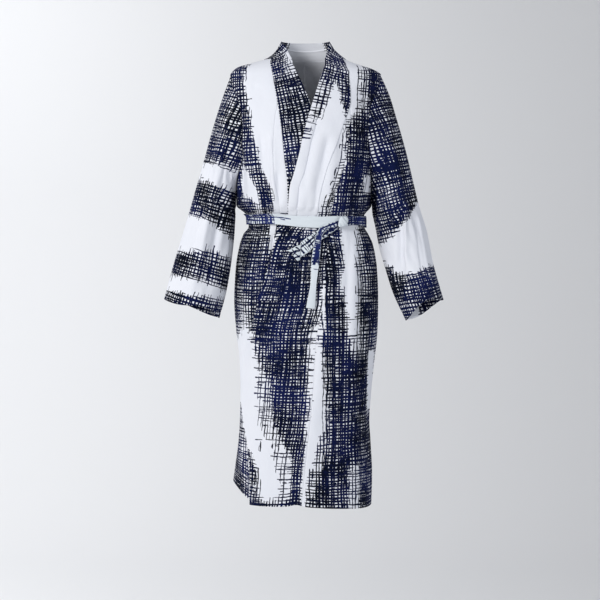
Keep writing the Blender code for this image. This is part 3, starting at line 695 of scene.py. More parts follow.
def curve(x, knots, values):
    """A smooth curve through the knots that never overshoots them."""
    x = np.asarray(x, dtype=float)
    knots = np.asarray(knots, dtype=float)
    values = np.asarray(values, dtype=float)
    if knots[0] > knots[-1]:
        knots = knots[::-1]
        values = values[::-1]
    step = np.diff(knots)
    rise = np.diff(values) / step
    slope = np.zeros(len(knots))
    slope[0] = rise[0]
    slope[-1] = rise[-1]
    before = rise[:-1]
    after = rise[1:]
    same_way = before * after > 0
    first = 2 * step[1:] + step[:-1]
    second = step[1:] + 2 * step[:-1]
    safe_before = np.where(same_way, before, 1.0)
    safe_after = np.where(same_way, after, 1.0)
    slope[1:-1] = np.where(same_way, (first + second) / (first / safe_before + second / safe_after), 0.0)
    x = np.clip(x, knots[0], knots[-1])
    index = np.clip(np.searchsorted(knots, x, side="right") - 1, 0, len(knots) - 2)
    width = step[index]
    t = (x - knots[index]) / width
    return (
        values[index] * (1 + 2 * t) * (1 - t) ** 2
        + values[index + 1] * t * t * (3 - 2 * t)
        + slope[index] * width * t * (1 - t) ** 2
        + slope[index + 1] * width * t * t * (t - 1)
    )


def smooth_step(value, low, high):
    """0 at low, 1 at high, with a soft start and end; low may be the greater of the two."""
    t = np.clip((np.asarray(value, dtype=float) - low) / (high - low), 0.0, 1.0)
    return t * t * (3 - 2 * t)


def bump(off, spread, power=2):
    """1 where off is 0, fading softly to both sides."""
    return np.exp(-((off / spread) ** power))


def lengths_along(points):
    """Lengths from the start of each row of points to each of its points."""
    pieces = np.linalg.norm(np.diff(points, axis=-2), axis=-1)
    starts = np.zeros(pieces.shape[:-1] + (1,))
    return np.concatenate((starts, np.cumsum(pieces, axis=-1)), axis=-1)


def line_x(table, z):
    """The x of a line drawn on the front, at height z."""
    points = np.array(table) * MM
    return curve(z, points[:, 1], points[:, 0])


def section_table():
    """The body section's sizes at many heights, by column name."""
    table = np.array(SECTIONS, dtype=float)
    heights = np.linspace(table[-1, 0], table[0, 0], SECTION_SAMPLES) * MM
    sizes = {"z": heights}
    for column, name in enumerate(SECTION_COLUMNS[1:], start=1):
        scale = 1.0 if name == "square" else MM
        sizes[name] = curve(heights, table[:, 0] * MM, table[:, column] * scale)
    return sizes


SECTION_SIZES = section_table()


def section(z):
    """The body section's sizes at height z."""
    return {name: np.interp(z, SECTION_SIZES["z"], SECTION_SIZES[name]) for name in SECTION_COLUMNS[1:]}


def plain_point(angle, z):
    """A point of the body surface without its folds."""
    angle, z = np.broadcast_arrays(np.asarray(angle, dtype=float), np.asarray(z, dtype=float))
    size = section(z)
    across = np.sin(angle)
    along = np.cos(angle)
    power = size["square"]
    reach = (np.abs(across) ** power + np.abs(along) ** power) ** (-1 / power)
    half_width = np.where(across < 0, size["left"], size["right"])
    depth = np.where(along > 0, size["front"], size["back"])
    return np.stack((half_width * across * reach, -depth * along * reach, z), axis=-1)


def surface_normal(point_at, angle, z):
    """The outward normal of a surface given by angle and height."""
    around = point_at(angle + ANGLE_STEP, z) - point_at(angle - ANGLE_STEP, z)
    upward = point_at(angle, z + HEIGHT_STEP) - point_at(angle, z - HEIGHT_STEP)
    normal = np.cross(around, upward)
    return normal / np.linalg.norm(normal, axis=-1, keepdims=True)


def crease(across, along, row):
    """Height of one soft fold from a start to an end on a flat drawing, steeper on one side."""
    x0, z0, x1, z1, half_width, height = row
    way_x = x1 - x0
    way_z = z1 - z0
    length = math.hypot(way_x, way_z)
    share = ((across - x0) * way_x + (along - z0) * way_z) / length**2
    off = ((across - x0) * way_z - (along - z0) * way_x) / length
    off = off * (1 + CREASE_STEEP * np.tanh(off / half_width))
    wide = half_width * (CREASE_WIDENING[0] + CREASE_WIDENING[1] * np.clip(share, 0, 1))
    ends = smooth_step(share, *CREASE_START) * smooth_step(share, *CREASE_END)
    return height * bump(off, wide) * ends


def ripples(x, z, lengths, tall, seed):
    """A sum of tilted waves with a fixed seed, about 1 high."""
    draw = np.random.RandomState(seed)
    height = np.zeros(np.shape(x))
    for _ in range(RIPPLES):
        across = 2 * np.pi / draw.uniform(*lengths)
        down = 2 * np.pi / draw.uniform(*tall) * draw.choice((-1, 1))
        phase = draw.uniform(0, 2 * np.pi)
        height = height + np.sin(across * x + down * z + phase)
    return height / math.sqrt(RIPPLES)


def fold_height(point, angle):
    """How far folds, creases, ripples and gathers push a point of the body surface out."""
    x = point[..., 0]
    z = point[..., 2]
    height = np.zeros(x.shape)
    for folds, creases, side in ((FRONT_FOLDS, FRONT_CREASES, 1.0), (BACK_FOLDS, BACK_CREASES, -1.0)):
        facing = smooth_step(side * np.cos(angle), 0.0, FOLDS_FROM_SIDE)
        for top_x, top_z, end_x, end_z, half_width, size in folds:
            along = (top_z * MM - z) / ((top_z - end_z) * MM)
            middle = (top_x + (end_x - top_x) * along) * MM
            shape = bump(x - middle, half_width * MM)
            begins = smooth_step(top_z * MM - z, 0.0, FOLD_ONSET)
            ends = smooth_step(z - end_z * MM, -FOLD_ONSET / 2, FOLD_ONSET / 2)
            height = height + facing * shape * begins * ends * size * MM
        for row in creases:
            height = height + facing * crease(x, z, [value * MM for value in row])
    turn = x + DEPTH_IN_RIPPLES * point[..., 1]
    loose = (1 - bump(z - WAIST_MIDDLE, WAIST_CALM)) * smooth_step(z, *NECK_CALM)
    waves = ripples(turn, z, RIPPLE_LENGTHS, RIPPLE_TALL, RIPPLE_SEED)
    height = height + loose * RIPPLE_HEIGHT * waves
    gathered = sum(
        smooth_step(away, 0.0, GATHER_ONSET) * np.exp(-np.clip(away, 0, 1) / GATHER_FADE)
        for away in (z - GATHER_EDGES[0], GATHER_EDGES[1] - z)
    )
    return height + gathered * GATHER_HEIGHT * ripples(turn, z, GATHER_LENGTHS, RIPPLE_TALL, GATHER_SEED)


def folded_point(angle, z):
    """A point of the body surface with its folds."""
    point = plain_point(angle, z)
    normal = surface_normal(plain_point, angle, z)
    return point + normal * fold_height(point, angle)[..., None]


def body_surface(angle, z, lift):
    """Points at a distance outside the folded body surface."""
    angle, z = np.broadcast_arrays(np.asarray(angle, dtype=float), np.asarray(z, dtype=float))
    normal = surface_normal(folded_point, angle, z)
    return folded_point(angle, z) + normal * np.broadcast_to(lift, angle.shape)[..., None]


def front_angle(x, z):
    """The angle of a front point from its x and height."""
    size = section(z)
    half_width = np.where(np.asarray(x) < 0, size["left"], size["right"])
    share = np.clip(np.abs(x) / half_width, 0.0, 1.0)
    rest = (1 - share ** size["square"]) ** (1 / size["square"])
    return np.sign(x) * np.arctan2(share, rest)


def lens(way, roundness):
    """The half depth of a sleeve's section against the way from its upper edge to its lower one."""
    return np.sin(np.pi * way) ** roundness


def armhole_angle(z, depth_name):
    """The angle from the front or back middle to the armhole's edge; the side below and above it."""
    size = section(z)
    way = np.clip((ARMHOLE_TOP - z) / (ARMHOLE_TOP - ARMHOLE_BOTTOM), 0.0, 1.0)
    opening = ARMHOLE_HALF_DEPTH * lens(way, ARMHOLE_ROUNDNESS)
    share = opening / size[depth_name]
    across = (1 - share ** size["square"]) ** (1 / size["square"])
    return np.arctan2(across, share)


def over_lift(angle, z):
    """How far the over front stands off the body surface, to clear the under front."""
    turned = np.degrees(np.abs((angle + np.pi) % (2 * np.pi) - np.pi))
    is_left = np.sin(angle) > 0
    skirt = smooth_step(z, *CHEST_TO_SKIRT)
    begin = CHEST_LIFT_FADE[0] + (SKIRT_LIFT_FADE[0] - CHEST_LIFT_FADE[0]) * skirt
    finish = CHEST_LIFT_FADE[1] + (SKIRT_LIFT_FADE[1] - CHEST_LIFT_FADE[1]) * skirt
    fade = np.where(is_left, smooth_step(turned, begin, finish), 0.0)
    below_neck = smooth_step(z, *OVER_LIFT_ONSET)
    return OVER_LIFT * (1 - fade) * below_neck


def printed(x, z, patches):
    """How full the print is at points of a drawing, from a table of printed areas."""
    ink = np.zeros(np.broadcast(x, z).shape)
    for level, rows in patches:
        rows = np.array(rows) * MM
        from_x = curve(z, rows[:, 0], rows[:, 1])
        to_x = curve(z, rows[:, 0], rows[:, 2])
        soft = np.clip((to_x - from_x) * PRINT_SOFT_SHARE, PRINT_SOFT_LEAST, PRINT_SOFT)
        inside = smooth_step(x, from_x - soft, from_x + soft) * smooth_step(x, to_x + soft, to_x - soft)
        top, bottom = rows[0, 0], rows[-1, 0]
        inside = inside * smooth_step(z, top + PRINT_SOFT_END, top - PRINT_SOFT_END)
        inside = inside * smooth_step(z, bottom - PRINT_SOFT_END, bottom + PRINT_SOFT_END)
        ink = ink * (1 - inside) + level * inside
    return ink


def gather(z):
    """How much narrower the cloth lies at height z than it was cut."""
    return 1 + WAIST_GATHER * bump(z - WAIST_MIDDLE, WAIST_SPREAD)


def cloth_piece(mesh, numbers, material):
    """An object of a mesh that keeps its cut lengths and print and rides on the robe."""
    for title, values in zip(CLOTH_NUMBERS, numbers):
        layer = mesh.attributes.new(title, "FLOAT", "POINT")
        layer.data.foreach_set("value", values.astype(np.float32).ravel())
    mesh.shade_smooth()
    mesh.materials.append(material)
    piece = bpy.data.objects.new(mesh.name, mesh)
    bpy.context.collection.objects.link(piece)
    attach(piece, "root")
    return piece


def shell(node, points, cut, ink, wraps, thickness, material):
    """A thin cloth shell from a grid of outer points, with its two cut lengths and its print."""
    rows, columns = points.shape[:2]
    last = columns if wraps else columns - 1
    row, column = np.meshgrid(np.arange(rows - 1) * columns, np.arange(last), indexing="ij")
    after = (column + 1) % columns
    corners = (row + column, row + after, row + columns + after, row + columns + column)
    faces = np.stack(corners, axis=-1).reshape(-1, 4)
    mesh = bpy.data.meshes.new(f"{node}_cloth")
    mesh.from_pydata(points.reshape(-1, 3).tolist(), [], faces.tolist())
    numbers = [np.broadcast_to(values, (rows, columns)) for values in (*cut, ink)]
    piece = cloth_piece(mesh, numbers, material)
    face_outward(piece)
    thick = piece.modifiers.new("thickness", "SOLIDIFY")
    thick.thickness = thickness
    thick.offset = -1.0
    thick.use_even_offset = False
    return piece


def face_outward(piece):
    """Turn the faces so that most of them look away from the middle line of their hollow."""
    mesh = piece.data
    normals = np.zeros(len(mesh.polygons) * 3)
    centres = np.zeros(len(mesh.polygons) * 3)
    mesh.polygons.foreach_get("normal", normals)
    mesh.polygons.foreach_get("center", centres)
    centres = centres.reshape(-1, 3)
    middle = outward_middle(piece.name, centres)
    if np.sum(normals.reshape(-1, 3) * (centres - middle)) < 0:
        mesh.flip_normals()


def outward_middle(name, centres):
    """Points inside the hollow that a piece's cloth surrounds."""
    middle = np.zeros(centres.shape)
    middle[:, 2] = centres[:, 2]
    if name.startswith("sleeve"):
        table = SLEEVE_RIGHT if "right" in name else SLEEVE_LEFT
        rows = np.array(table, dtype=float) * MM
        heights = (rows[:, 1] + rows[:, 3]) / 2
        middle[:, 0] = np.interp(-centres[:, 2], -heights, (rows[:, 0] + rows[:, 2]) / 2)
        middle[:, 1] = np.interp(-centres[:, 2], -heights, rows[:, 4])
    return middle


def end_shares(count, length):
    """Lengths across a row, closer together near the seams at both ends."""
    near = np.array(SEAM_ROWS) * MM
    near = near[:, None] * np.clip(length / SEAM_ROWS_FULL_FROM, SEAM_ROWS_LEAST, 1.0)
    inner = np.linspace(0.0, 1.0, count - 2 * len(near) + 3)[1:-1, None]
    between = near[-1] + (length - 2 * near[-1]) * inner
    return np.concatenate((near, between, length - near[::-1])).T


def seam_dip(length, total):
    """How far the cloth turns in at the seams at both ends of a row."""
    return -SEAM_DIP * (bump(length, SEAM_DIP_SPREAD) + bump(total - length, SEAM_DIP_SPREAD))


def arc_lengths(reference, angles, heights):
    """Lengths along each row of the plain body surface, from a reference angle to each point."""
    span = np.abs(angles - reference).max() + ARC_SPARE
    steps = np.linspace(0.0, span, ARC_SAMPLES)
    way = np.sign((angles - reference).mean())
    lengths = lengths_along(plain_point(reference + way * steps[None, :], heights))
    turned = way * (angles - reference)
    return np.array([way * np.interp(turned[row], steps, lengths[row]) for row in range(len(angles))])


def panel(node, top, first_edge, last_edge, columns, gaps, lift, hem, patches, reference, material):
    """A panel of the body between two edges, each given as an angle for a height."""
    runs = [np.arange(start, end, -step, dtype=float) for start, end, step in ROW_RUNS]
    heights = np.concatenate(runs) * MM
    heights = np.append(heights[heights <= top], LEVEL_HEM)
    first, last = (np.array([float(edge(z)) for z in heights])[:, None] for edge in (first_edge, last_edge))
    samples = first + (last - first) * np.linspace(0.0, 1.0, ARC_SAMPLES)
    lengths = lengths_along(folded_point(samples, heights[:, None]))
    total = lengths[:, -1] - gaps[0] - gaps[1]
    wanted = end_shares(columns, total)
    angles = np.array([np.interp(*row) for row in zip(wanted + gaps[0], lengths, samples)])
    levels = np.repeat(heights[:, None], angles.shape[1], axis=1)
    below = np.clip((HEM_SHAPED_BELOW - levels) / (HEM_SHAPED_BELOW - LEVEL_HEM), 0.0, 1.0)
    levels = levels + below * (hem(angles) - LEVEL_HEM)
    lifts = lift(angles, levels) + WALL + seam_dip(wanted, total[:, None])
    lifts = lifts - HEM_GROOVE * bump(levels - hem(angles) - HEM_DEPTH, HEM_GROOVE_SPREAD)
    points = body_surface(angles, levels, lifts)
    anchor = reference(heights)[:, None] if callable(reference) else np.full((len(heights), 1), reference)
    cut_u = arc_lengths(anchor, angles, heights[:, None]) * gather(heights)[:, None] + CUT_PLACES[node]
    cut_v = lengths_along(points[:, points.shape[1] // 2])[:, None] + CUT_PLACES[node]
    ink = printed(points[..., 0], levels, patches)
    return shell(node, points, (cut_u, cut_v), ink, False, CLOTH, material)


def no_lift(angle, z):
    """Panels that lie on the body surface itself."""
    return np.zeros(np.shape(angle))


def front_hem(line):
    """A hem that follows a line drawn on the front."""
    points = np.array(line) * MM

    def hem(angle):
        """The line's height at the x that the angle has at the hem."""
        x = plain_point(angle, np.full(np.shape(angle), LEVEL_HEM))[..., 0]
        return curve(x, points[:, 0], points[:, 1])

    return hem


def back_hem(side_height):
    """A hem that is level at the centre back and meets the front's at the side."""

    def hem(angle):
        """The height that eases to the side's from the centre back."""
        return LEVEL_HEM + (side_height - LEVEL_HEM) * smooth_step(-np.cos(angle), 1.0, 0.0)

    return hem


def panel_edge(seam, free_edge, z):
    """A front's inner edge: just inside the collar's seam, and out to the free edge below the belt."""
    lap = COLLAR_LAP if line_x(free_edge, z) > line_x(seam, z) else -COLLAR_LAP
    above = line_x(seam, z) + lap
    below = line_x(free_edge, z)
    low = smooth_step(z, *OKUMI_EDGE_OUT)
    return front_angle(above + (below - above) * low, z)


def front_inner_angle(collar_seam, okumi_seam, side, z):
    """A front's inner edge: under the collar at the top, then along the seam of its overlap panel."""
    if z > OKUMI_TOP:
        tuck = COLLAR_LAP * (1 - smooth_step(z, *FRONT_TUCK))
        return front_angle(line_x(collar_seam, z) - side * tuck, z)
    return front_angle(line_x(okumi_seam, z), z)


def build_body(material):
    """The two fronts, the two overlap panels and the two halves of the back."""
    top = ROW_RUNS[0][0] * MM
    half = SEAM_GAP / 2
    under_hem = front_hem(UNDER_HEM)
    over_hem = front_hem(OVER_HEM)

    def under_seam(z):
        """The seam between the right front and its overlap panel."""
        return front_angle(line_x(UNDER_OKUMI_SEAM, z), z)

    def over_seam(z):
        """The seam between the left front and its overlap panel."""
        return front_angle(line_x(OVER_OKUMI_SEAM, z), z)

    # Top, both edges, columns, gaps at the seams, lift, hem, print, and where its cut is measured from
    panels = {
        "front_right": (
            top, lambda z: -armhole_angle(z, "front"),
            lambda z: front_inner_angle(UNDER_COLLAR_SEAM, UNDER_OKUMI_SEAM, -1, z),
            FRONT_COLUMNS, (half, half), no_lift, under_hem, FRONT_PRINT, 0.0,
        ),
        "front_left": (
            top, lambda z: front_inner_angle(OVER_COLLAR_SEAM, OVER_OKUMI_SEAM, 1, z),
            lambda z: armhole_angle(z, "front"),
            FRONT_COLUMNS, (half, half), over_lift, over_hem, FRONT_PRINT, 0.0,
        ),
        "okumi_right": (
            OKUMI_TOP, under_seam, lambda z: panel_edge(UNDER_COLLAR_SEAM, UNDER_EDGE, z),
            OKUMI_COLUMNS, (half, 0.0), no_lift, under_hem, FRONT_PRINT,
            lambda z: under_seam(z) - REFERENCE_STEP,
        ),
        "okumi_left": (
            OKUMI_TOP, lambda z: panel_edge(OVER_COLLAR_SEAM, OVER_EDGE, z), over_seam,
            OKUMI_COLUMNS, (0.0, half), over_lift, over_hem, OVER_OKUMI_PRINT,
            lambda z: over_seam(z) + REFERENCE_STEP,
        ),
        "back_left": (
            top, lambda z: np.pi - armhole_angle(z, "back"), lambda z: np.pi,
            BACK_COLUMNS, (half, half), no_lift, back_hem(BACK_LEFT_SIDE_HEM), BACK_PRINT,
            np.pi + REFERENCE_STEP,
        ),
        "back_right": (
            top, lambda z: -np.pi, lambda z: armhole_angle(z, "back") - np.pi,
            BACK_COLUMNS, (half, half), no_lift, back_hem(BACK_RIGHT_SIDE_HEM), BACK_PRINT,
            -np.pi - REFERENCE_STEP,
        ),
    }
    return {node: panel(node, *parts, material) for node, parts in panels.items()}


def collar_stations():
    """Angles and heights of the collar's seam and free edge, from the under end to the over end."""
    heights = COLLAR_UPPER_STATIONS + tuple((z, z) for z in COLLAR_LOWER_HEIGHTS)

    def front_part(seam, edge, turn):
        """The stations down one front."""
        part = []
        for seam_z, edge_z in heights:
            seam_angle = float(front_angle(line_x(seam, seam_z * MM), seam_z * MM)) + turn
            edge_angle = float(front_angle(line_x(edge, edge_z * MM), edge_z * MM)) + turn
            part.append((seam_angle, seam_z * MM, edge_angle, edge_z * MM))
        return part

    under = front_part(UNDER_COLLAR_SEAM, UNDER_EDGE, 0.0)
    over = front_part(OVER_COLLAR_SEAM, OVER_EDGE, -2 * np.pi)
    neck = []
    for angle in np.radians(np.linspace(*COLLAR_NECK_ANGLES, COLLAR_NECK_STATIONS)):
        behind = smooth_step(-np.cos(angle), 0.0, 1.0)
        low = COLLAR_NECK_SIDE_LOW + (COLLAR_NECK_LOW - COLLAR_NECK_SIDE_LOW) * behind
        neck.append((angle, low, angle, COLLAR_NECK_TOP))
    return np.array(under[::-1] + neck + over), len(under) + len(neck) // 2


def collar_shares(seam_angle, seam_z, edge_angle, edge_z):
    """Shares across the collar at each station, close together at its edges and at its crease."""
    seam_side = body_surface(seam_angle, seam_z, LAYER)[:, 0]
    edge_side = body_surface(edge_angle, edge_z, LAYER)[:, 0]
    width = np.linalg.norm(seam_side - edge_side, axis=-1)[:, None]
    near_crease = COLLAR_STRIP + COLLAR_STEP * np.array(COLLAR_CREASE_STEPS)
    near_edge = np.array(COLLAR_EDGE_ROWS) * MM
    rest = np.array(COLLAR_SEAM_SHARES) * (1 - near_crease[0] / width)
    return np.concatenate((rest, 1 - near_crease / width, 1 - near_edge / width), axis=1)


def build_collar(material):
    """The one long collar, from its under end round the neck to its over end."""
    stations, middle = collar_stations()
    marks = np.arange(len(stations), dtype=float)
    fine = np.linspace(0, len(stations) - 1, (len(stations) - 1) * COLLAR_FINE + 1)
    stations = np.stack([curve(fine, marks, stations[:, part]) for part in range(4)], axis=-1)
    seam_angle, seam_z, edge_angle, edge_z = (stations[:, part, None] for part in range(4))
    share = collar_shares(seam_angle, seam_z, edge_angle, edge_z)
    angles = seam_angle + (edge_angle - seam_angle) * share
    levels = seam_z + (edge_z - seam_z) * share
    is_over = fine[:, None] > middle
    lifts = LAYER + WALL + np.where(is_over, over_lift(angles, levels), 0.0)
    edges = bump(share, COLLAR_EDGE_SHARE) + bump(1 - share, COLLAR_EDGE_SHARE)
    flat = body_surface(angles, levels, lifts)
    width = np.linalg.norm(flat[:, -1] - flat[:, 0], axis=-1)
    from_edge = (1 - share) * width[:, None]
    strip = smooth_step(COLLAR_STRIP + COLLAR_STEP - from_edge, 0.0, COLLAR_STEP)
    line = bump(from_edge - COLLAR_STRIP - COLLAR_STEP, COLLAR_LINE_SPREAD)
    lifts = lifts - COLLAR_EDGE_TURN * edges - COLLAR_LINE_DEPTH * line
    points = body_surface(angles, levels, lifts + COLLAR_STRIP_RISE * strip - COLLAR_SINK)
    cut_u = share * width.mean() + CUT_PLACES["collar"]
    cut_v = lengths_along(points[:, COLLAR_MEASURED_ROW])[:, None]
    under = printed(points[..., 0], levels, UNDER_COLLAR_PRINT)
    over = printed(points[..., 0], levels, OVER_COLLAR_PRINT)
    table = np.array(NECK_PRINT_DEGREES, dtype=float)
    turned = np.degrees(angles)
    behind = curve(turned, table[:, 0], table[:, 1])
    is_neck = (turned < COLLAR_NECK_ANGLES[0]) & (turned > COLLAR_NECK_ANGLES[1])
    ink = np.where(is_neck, behind, np.where(is_over, over, under))
    return shell("collar", points, (cut_u, cut_v), ink, False, COLLAR_CLOTH, material)


def armhole_ring(side, way):
    """The sleeve's first ring, just inside the armhole's edge, front and then back."""
    heights = ARMHOLE_TOP + (ARMHOLE_BOTTOM - ARMHOLE_TOP) * way
    size = section(heights)
    front = armhole_angle(heights, "front") + ARMHOLE_GAP / size["front"]
    back = np.pi - armhole_angle(heights, "back") - ARMHOLE_GAP / size["back"]
    front[[0, -1]] = np.pi / 2
    angles = side * np.concatenate((front, back[-2:0:-1]))
    levels = np.concatenate((heights, heights[-2:0:-1]))
    lifts = over_lift(angles, levels) if side > 0 else np.zeros(len(angles))
    lifts = lifts + SLEEVE_TUCK * smooth_step(levels, *ARMHOLE_LAP)
    levels[0] -= ARMHOLE_TIP
    levels[len(heights) - 1] += ARMHOLE_TIP
    return body_surface(angles, levels, lifts)


def sleeve_ring(row, way, roundness):
    """One ring of a sleeve from its outer and inner edges, front and then back."""
    sizes = {name: value * MM for name, value in zip(SLEEVE_COLUMNS, row)}
    x = sizes["outer_x"] + (sizes["inner_x"] - sizes["outer_x"]) * way
    z = sizes["outer_z"] + (sizes["inner_z"] - sizes["outer_z"]) * way
    depth = sizes["half_depth"] * lens(way, roundness)
    front = np.stack((x, sizes["middle_y"] - depth, z), axis=-1)
    back = np.stack((x, sizes["middle_y"] + depth, z), axis=-1)
    return np.concatenate((front, back[-2:0:-1]))


def sleeve_grid(side, table, rings, way):
    """Outer points and outward normals of a sleeve, from the armhole to the cuff."""
    loops = [armhole_ring(side, way)]
    for place, row in enumerate(table):
        share = (place + 1) / len(table)
        loops.append(sleeve_ring(row, way, ARMHOLE_ROUNDNESS + (CUFF_ROUNDNESS - ARMHOLE_ROUNDNESS) * share))
    loops = np.array(loops)
    marks = np.arange(len(loops), dtype=float)
    fine = np.linspace(0, len(loops) - 1, rings)
    grid = np.zeros((rings,) + loops.shape[1:])
    for column in range(loops.shape[1]):
        for part in range(3):
            grid[:, column, part] = curve(fine, marks, loops[:, column, part])
    down = np.gradient(grid, axis=0)
    around = np.roll(grid, -1, axis=1) - np.roll(grid, 1, axis=1)
    normals = np.cross(down, around)
    normals /= np.linalg.norm(normals, axis=-1, keepdims=True)
    outward = grid - grid.mean(axis=1, keepdims=True)
    return grid, normals * np.sign(np.sum(normals * outward))


def sleeve_print(points, bands):
    """How full the print is on a sleeve, from bands across it."""
    x = np.abs(points[..., 0])
    z = points[..., 2]
    marks = np.array(SLEEVE_PRINT_X) * MM
    ink = np.zeros(z.shape)
    for level, upper, lower in bands:
        top = curve(x, marks, np.array(upper) * MM)
        bottom = curve(x, marks, np.array(lower) * MM)
        inside = smooth_step(z, top + SLEEVE_PRINT_SOFT, top - SLEEVE_PRINT_SOFT)
        inside = inside * smooth_step(z, bottom - SLEEVE_PRINT_SOFT, bottom + SLEEVE_PRINT_SOFT)
        ink = np.maximum(ink, level * inside)
    return ink


def sleeve_cut(points, table):
    """Cut lengths of a sleeve: across from its upper fold, front and back, and along that fold."""
    fold = np.array(table[-1][:2], dtype=float) - np.array(table[0][:2], dtype=float)
    way = fold / np.linalg.norm(fold)
    inward = np.array((-way[1], way[0])) * -np.sign(table[0][0])
    flat = points[..., (0, 2)]
    cut_v = flat @ way
    across = flat @ inward
    step = np.hypot(*(np.roll(part, -1, axis=1) - part for part in (across, points[..., 1])))
    forward = np.cumsum(step, axis=1) - step
    backward = step.sum(axis=1, keepdims=True) - forward
    is_front = np.arange(points.shape[1])[None, :] < SLEEVE_WAYS
    return across[:, :1] + np.where(is_front, forward, -backward), cut_v


def sleeve_height(node, around, share, is_front, side):
    """How far creases, ripples, the hem and the armhole's seam push the sleeve's cloth out."""
    along = share * SLEEVE_FLAT_LENGTH
    across = around * SLEEVE_FLAT_WIDTH
    height = np.zeros(np.broadcast(around, share).shape)
    for face, facing in (("front", is_front), ("back", ~is_front)):
        for s0, w0, s1, w1, half_width, size in SLEEVE_CREASES[f"{node}_{face}"]:
            start = (w0 * SLEEVE_FLAT_WIDTH, s0 * SLEEVE_FLAT_LENGTH)
            end = (w1 * SLEEVE_FLAT_WIDTH, s1 * SLEEVE_FLAT_LENGTH)
            fold = crease(across, along, (*start, *end, half_width * MM, size * MM))
            height = height + np.where(facing, fold, 0.0)
    edge = smooth_step(np.minimum(around, 1 - around), 0.0, SLEEVE_CALM_EDGE)
    slanted = across + SLEEVE_RIPPLE_SLANT * along
    wave = ripples(slanted, along, SLEEVE_RIPPLE_LENGTHS, SLEEVE_RIPPLE_TALL, RIPPLE_SEED + side)
    height = (height + SLEEVE_RIPPLE_HEIGHT * wave) * edge * smooth_step(along, 0.0, SLEEVE_CALM_TO)
    height = height - HEM_GROOVE * bump(SLEEVE_FLAT_LENGTH - along - HEM_DEPTH, HEM_GROOVE_SPREAD)
    return height - SEAM_DIP * bump(along, ARMHOLE_DIP_SPREAD)


def build_sleeve(node, side, table, bands, cuff_tilt, material):
    """A sleeve, open at the armhole and at the cuff."""
    way = 0.5 - 0.5 * np.cos(np.pi * np.linspace(0.0, 1.0, SLEEVE_WAYS))
    grid, normals = sleeve_grid(side, table, SLEEVE_RINGS, way)
    around = np.concatenate((way, way[-2:0:-1]))[None, :]
    is_front = np.arange(around.size)[None, :] < SLEEVE_WAYS
    share = np.linspace(0.0, 1.0, SLEEVE_RINGS)[:, None]
    points = grid + normals * sleeve_height(node, around, share, is_front, side)[..., None]
    power, front_lift, back_drop = cuff_tilt
    tilt = smooth_step(share, CUFF_TILT_FROM, 1.0) * np.sin(np.pi * around**power)
    points[..., 2] += np.where(is_front, front_lift, -back_drop) * tilt
    cut = [part + CUT_PLACES[node] for part in sleeve_cut(points, table)]
    ink = sleeve_print(points, bands)
    blank = bump(np.abs(points[..., 0]) - CUFF_BLANK[0], CUFF_BLANK[2], 4)
    blank = blank * bump(points[..., 2] - CUFF_BLANK[1], CUFF_BLANK[3], 4)
    ink = np.where(is_front | (side < 0), ink, ink * (1 - blank))
    return shell(node, points, cut, ink, True, CLOTH, material)


def belt_crown(share):
    """The belt's cloth is a little thicker along its middle."""
    return BELT_CROWN * (1 - (2 * share) ** 4)


def build_belt(material):
    """The belt where it goes round the waist, pinched at its knot."""
    angles = np.linspace(-np.pi, np.pi, BELT_COLUMNS, endpoint=False)
    line = np.array(BELT_LINE, dtype=float)
    middle = curve(np.degrees(angles), line[:, 0], line[:, 1] * MM)
    share = np.linspace(0.5, -0.5, BELT_SHARES)[:, None]
    pinch = bump(np.degrees(angles) - BELT_PINCH_ANGLE, BELT_PINCH_SPREAD)
    levels = middle + share * BELT_WIDTH * (1 - BELT_PINCH * pinch)
    turns = np.broadcast_to(angles, levels.shape)
    fade = smooth_step(np.degrees(np.abs(turns)), *BELT_FADE)
    lifts = BELT_FRONT_LIFT + (BELT_BACK_LIFT - BELT_FRONT_LIFT) * fade + WALL
    across = share * BELT_WIDTH
    centre = body_surface(turns, levels, lifts)[BELT_SHARES // 2]
    step = np.linalg.norm(np.roll(centre, -1, axis=0) - centre, axis=-1)
    along = (np.cumsum(step) - step)[None, :]
    wave = ripples(across * BELT_WAVE_ACROSS, along, BELT_WAVE_LENGTHS, BELT_WAVE_TALL, BELT_SEED)
    pleats = BELT_PLEATS[0] * pinch * np.cos(2 * np.pi * share * BELT_PLEATS[1])
    points = body_surface(turns, levels, lifts + belt_crown(share) + BELT_WAVE * wave + pleats)
    table = np.array(BELT_PRINT_DEGREES, dtype=float)
    ink = np.interp(np.degrees(turns), table[:, 0], table[:, 1])
    cut = (across + CUT_PLACES["belt_band"], along)
    return shell("belt_band", points, cut, ink, True, CLOTH, material)


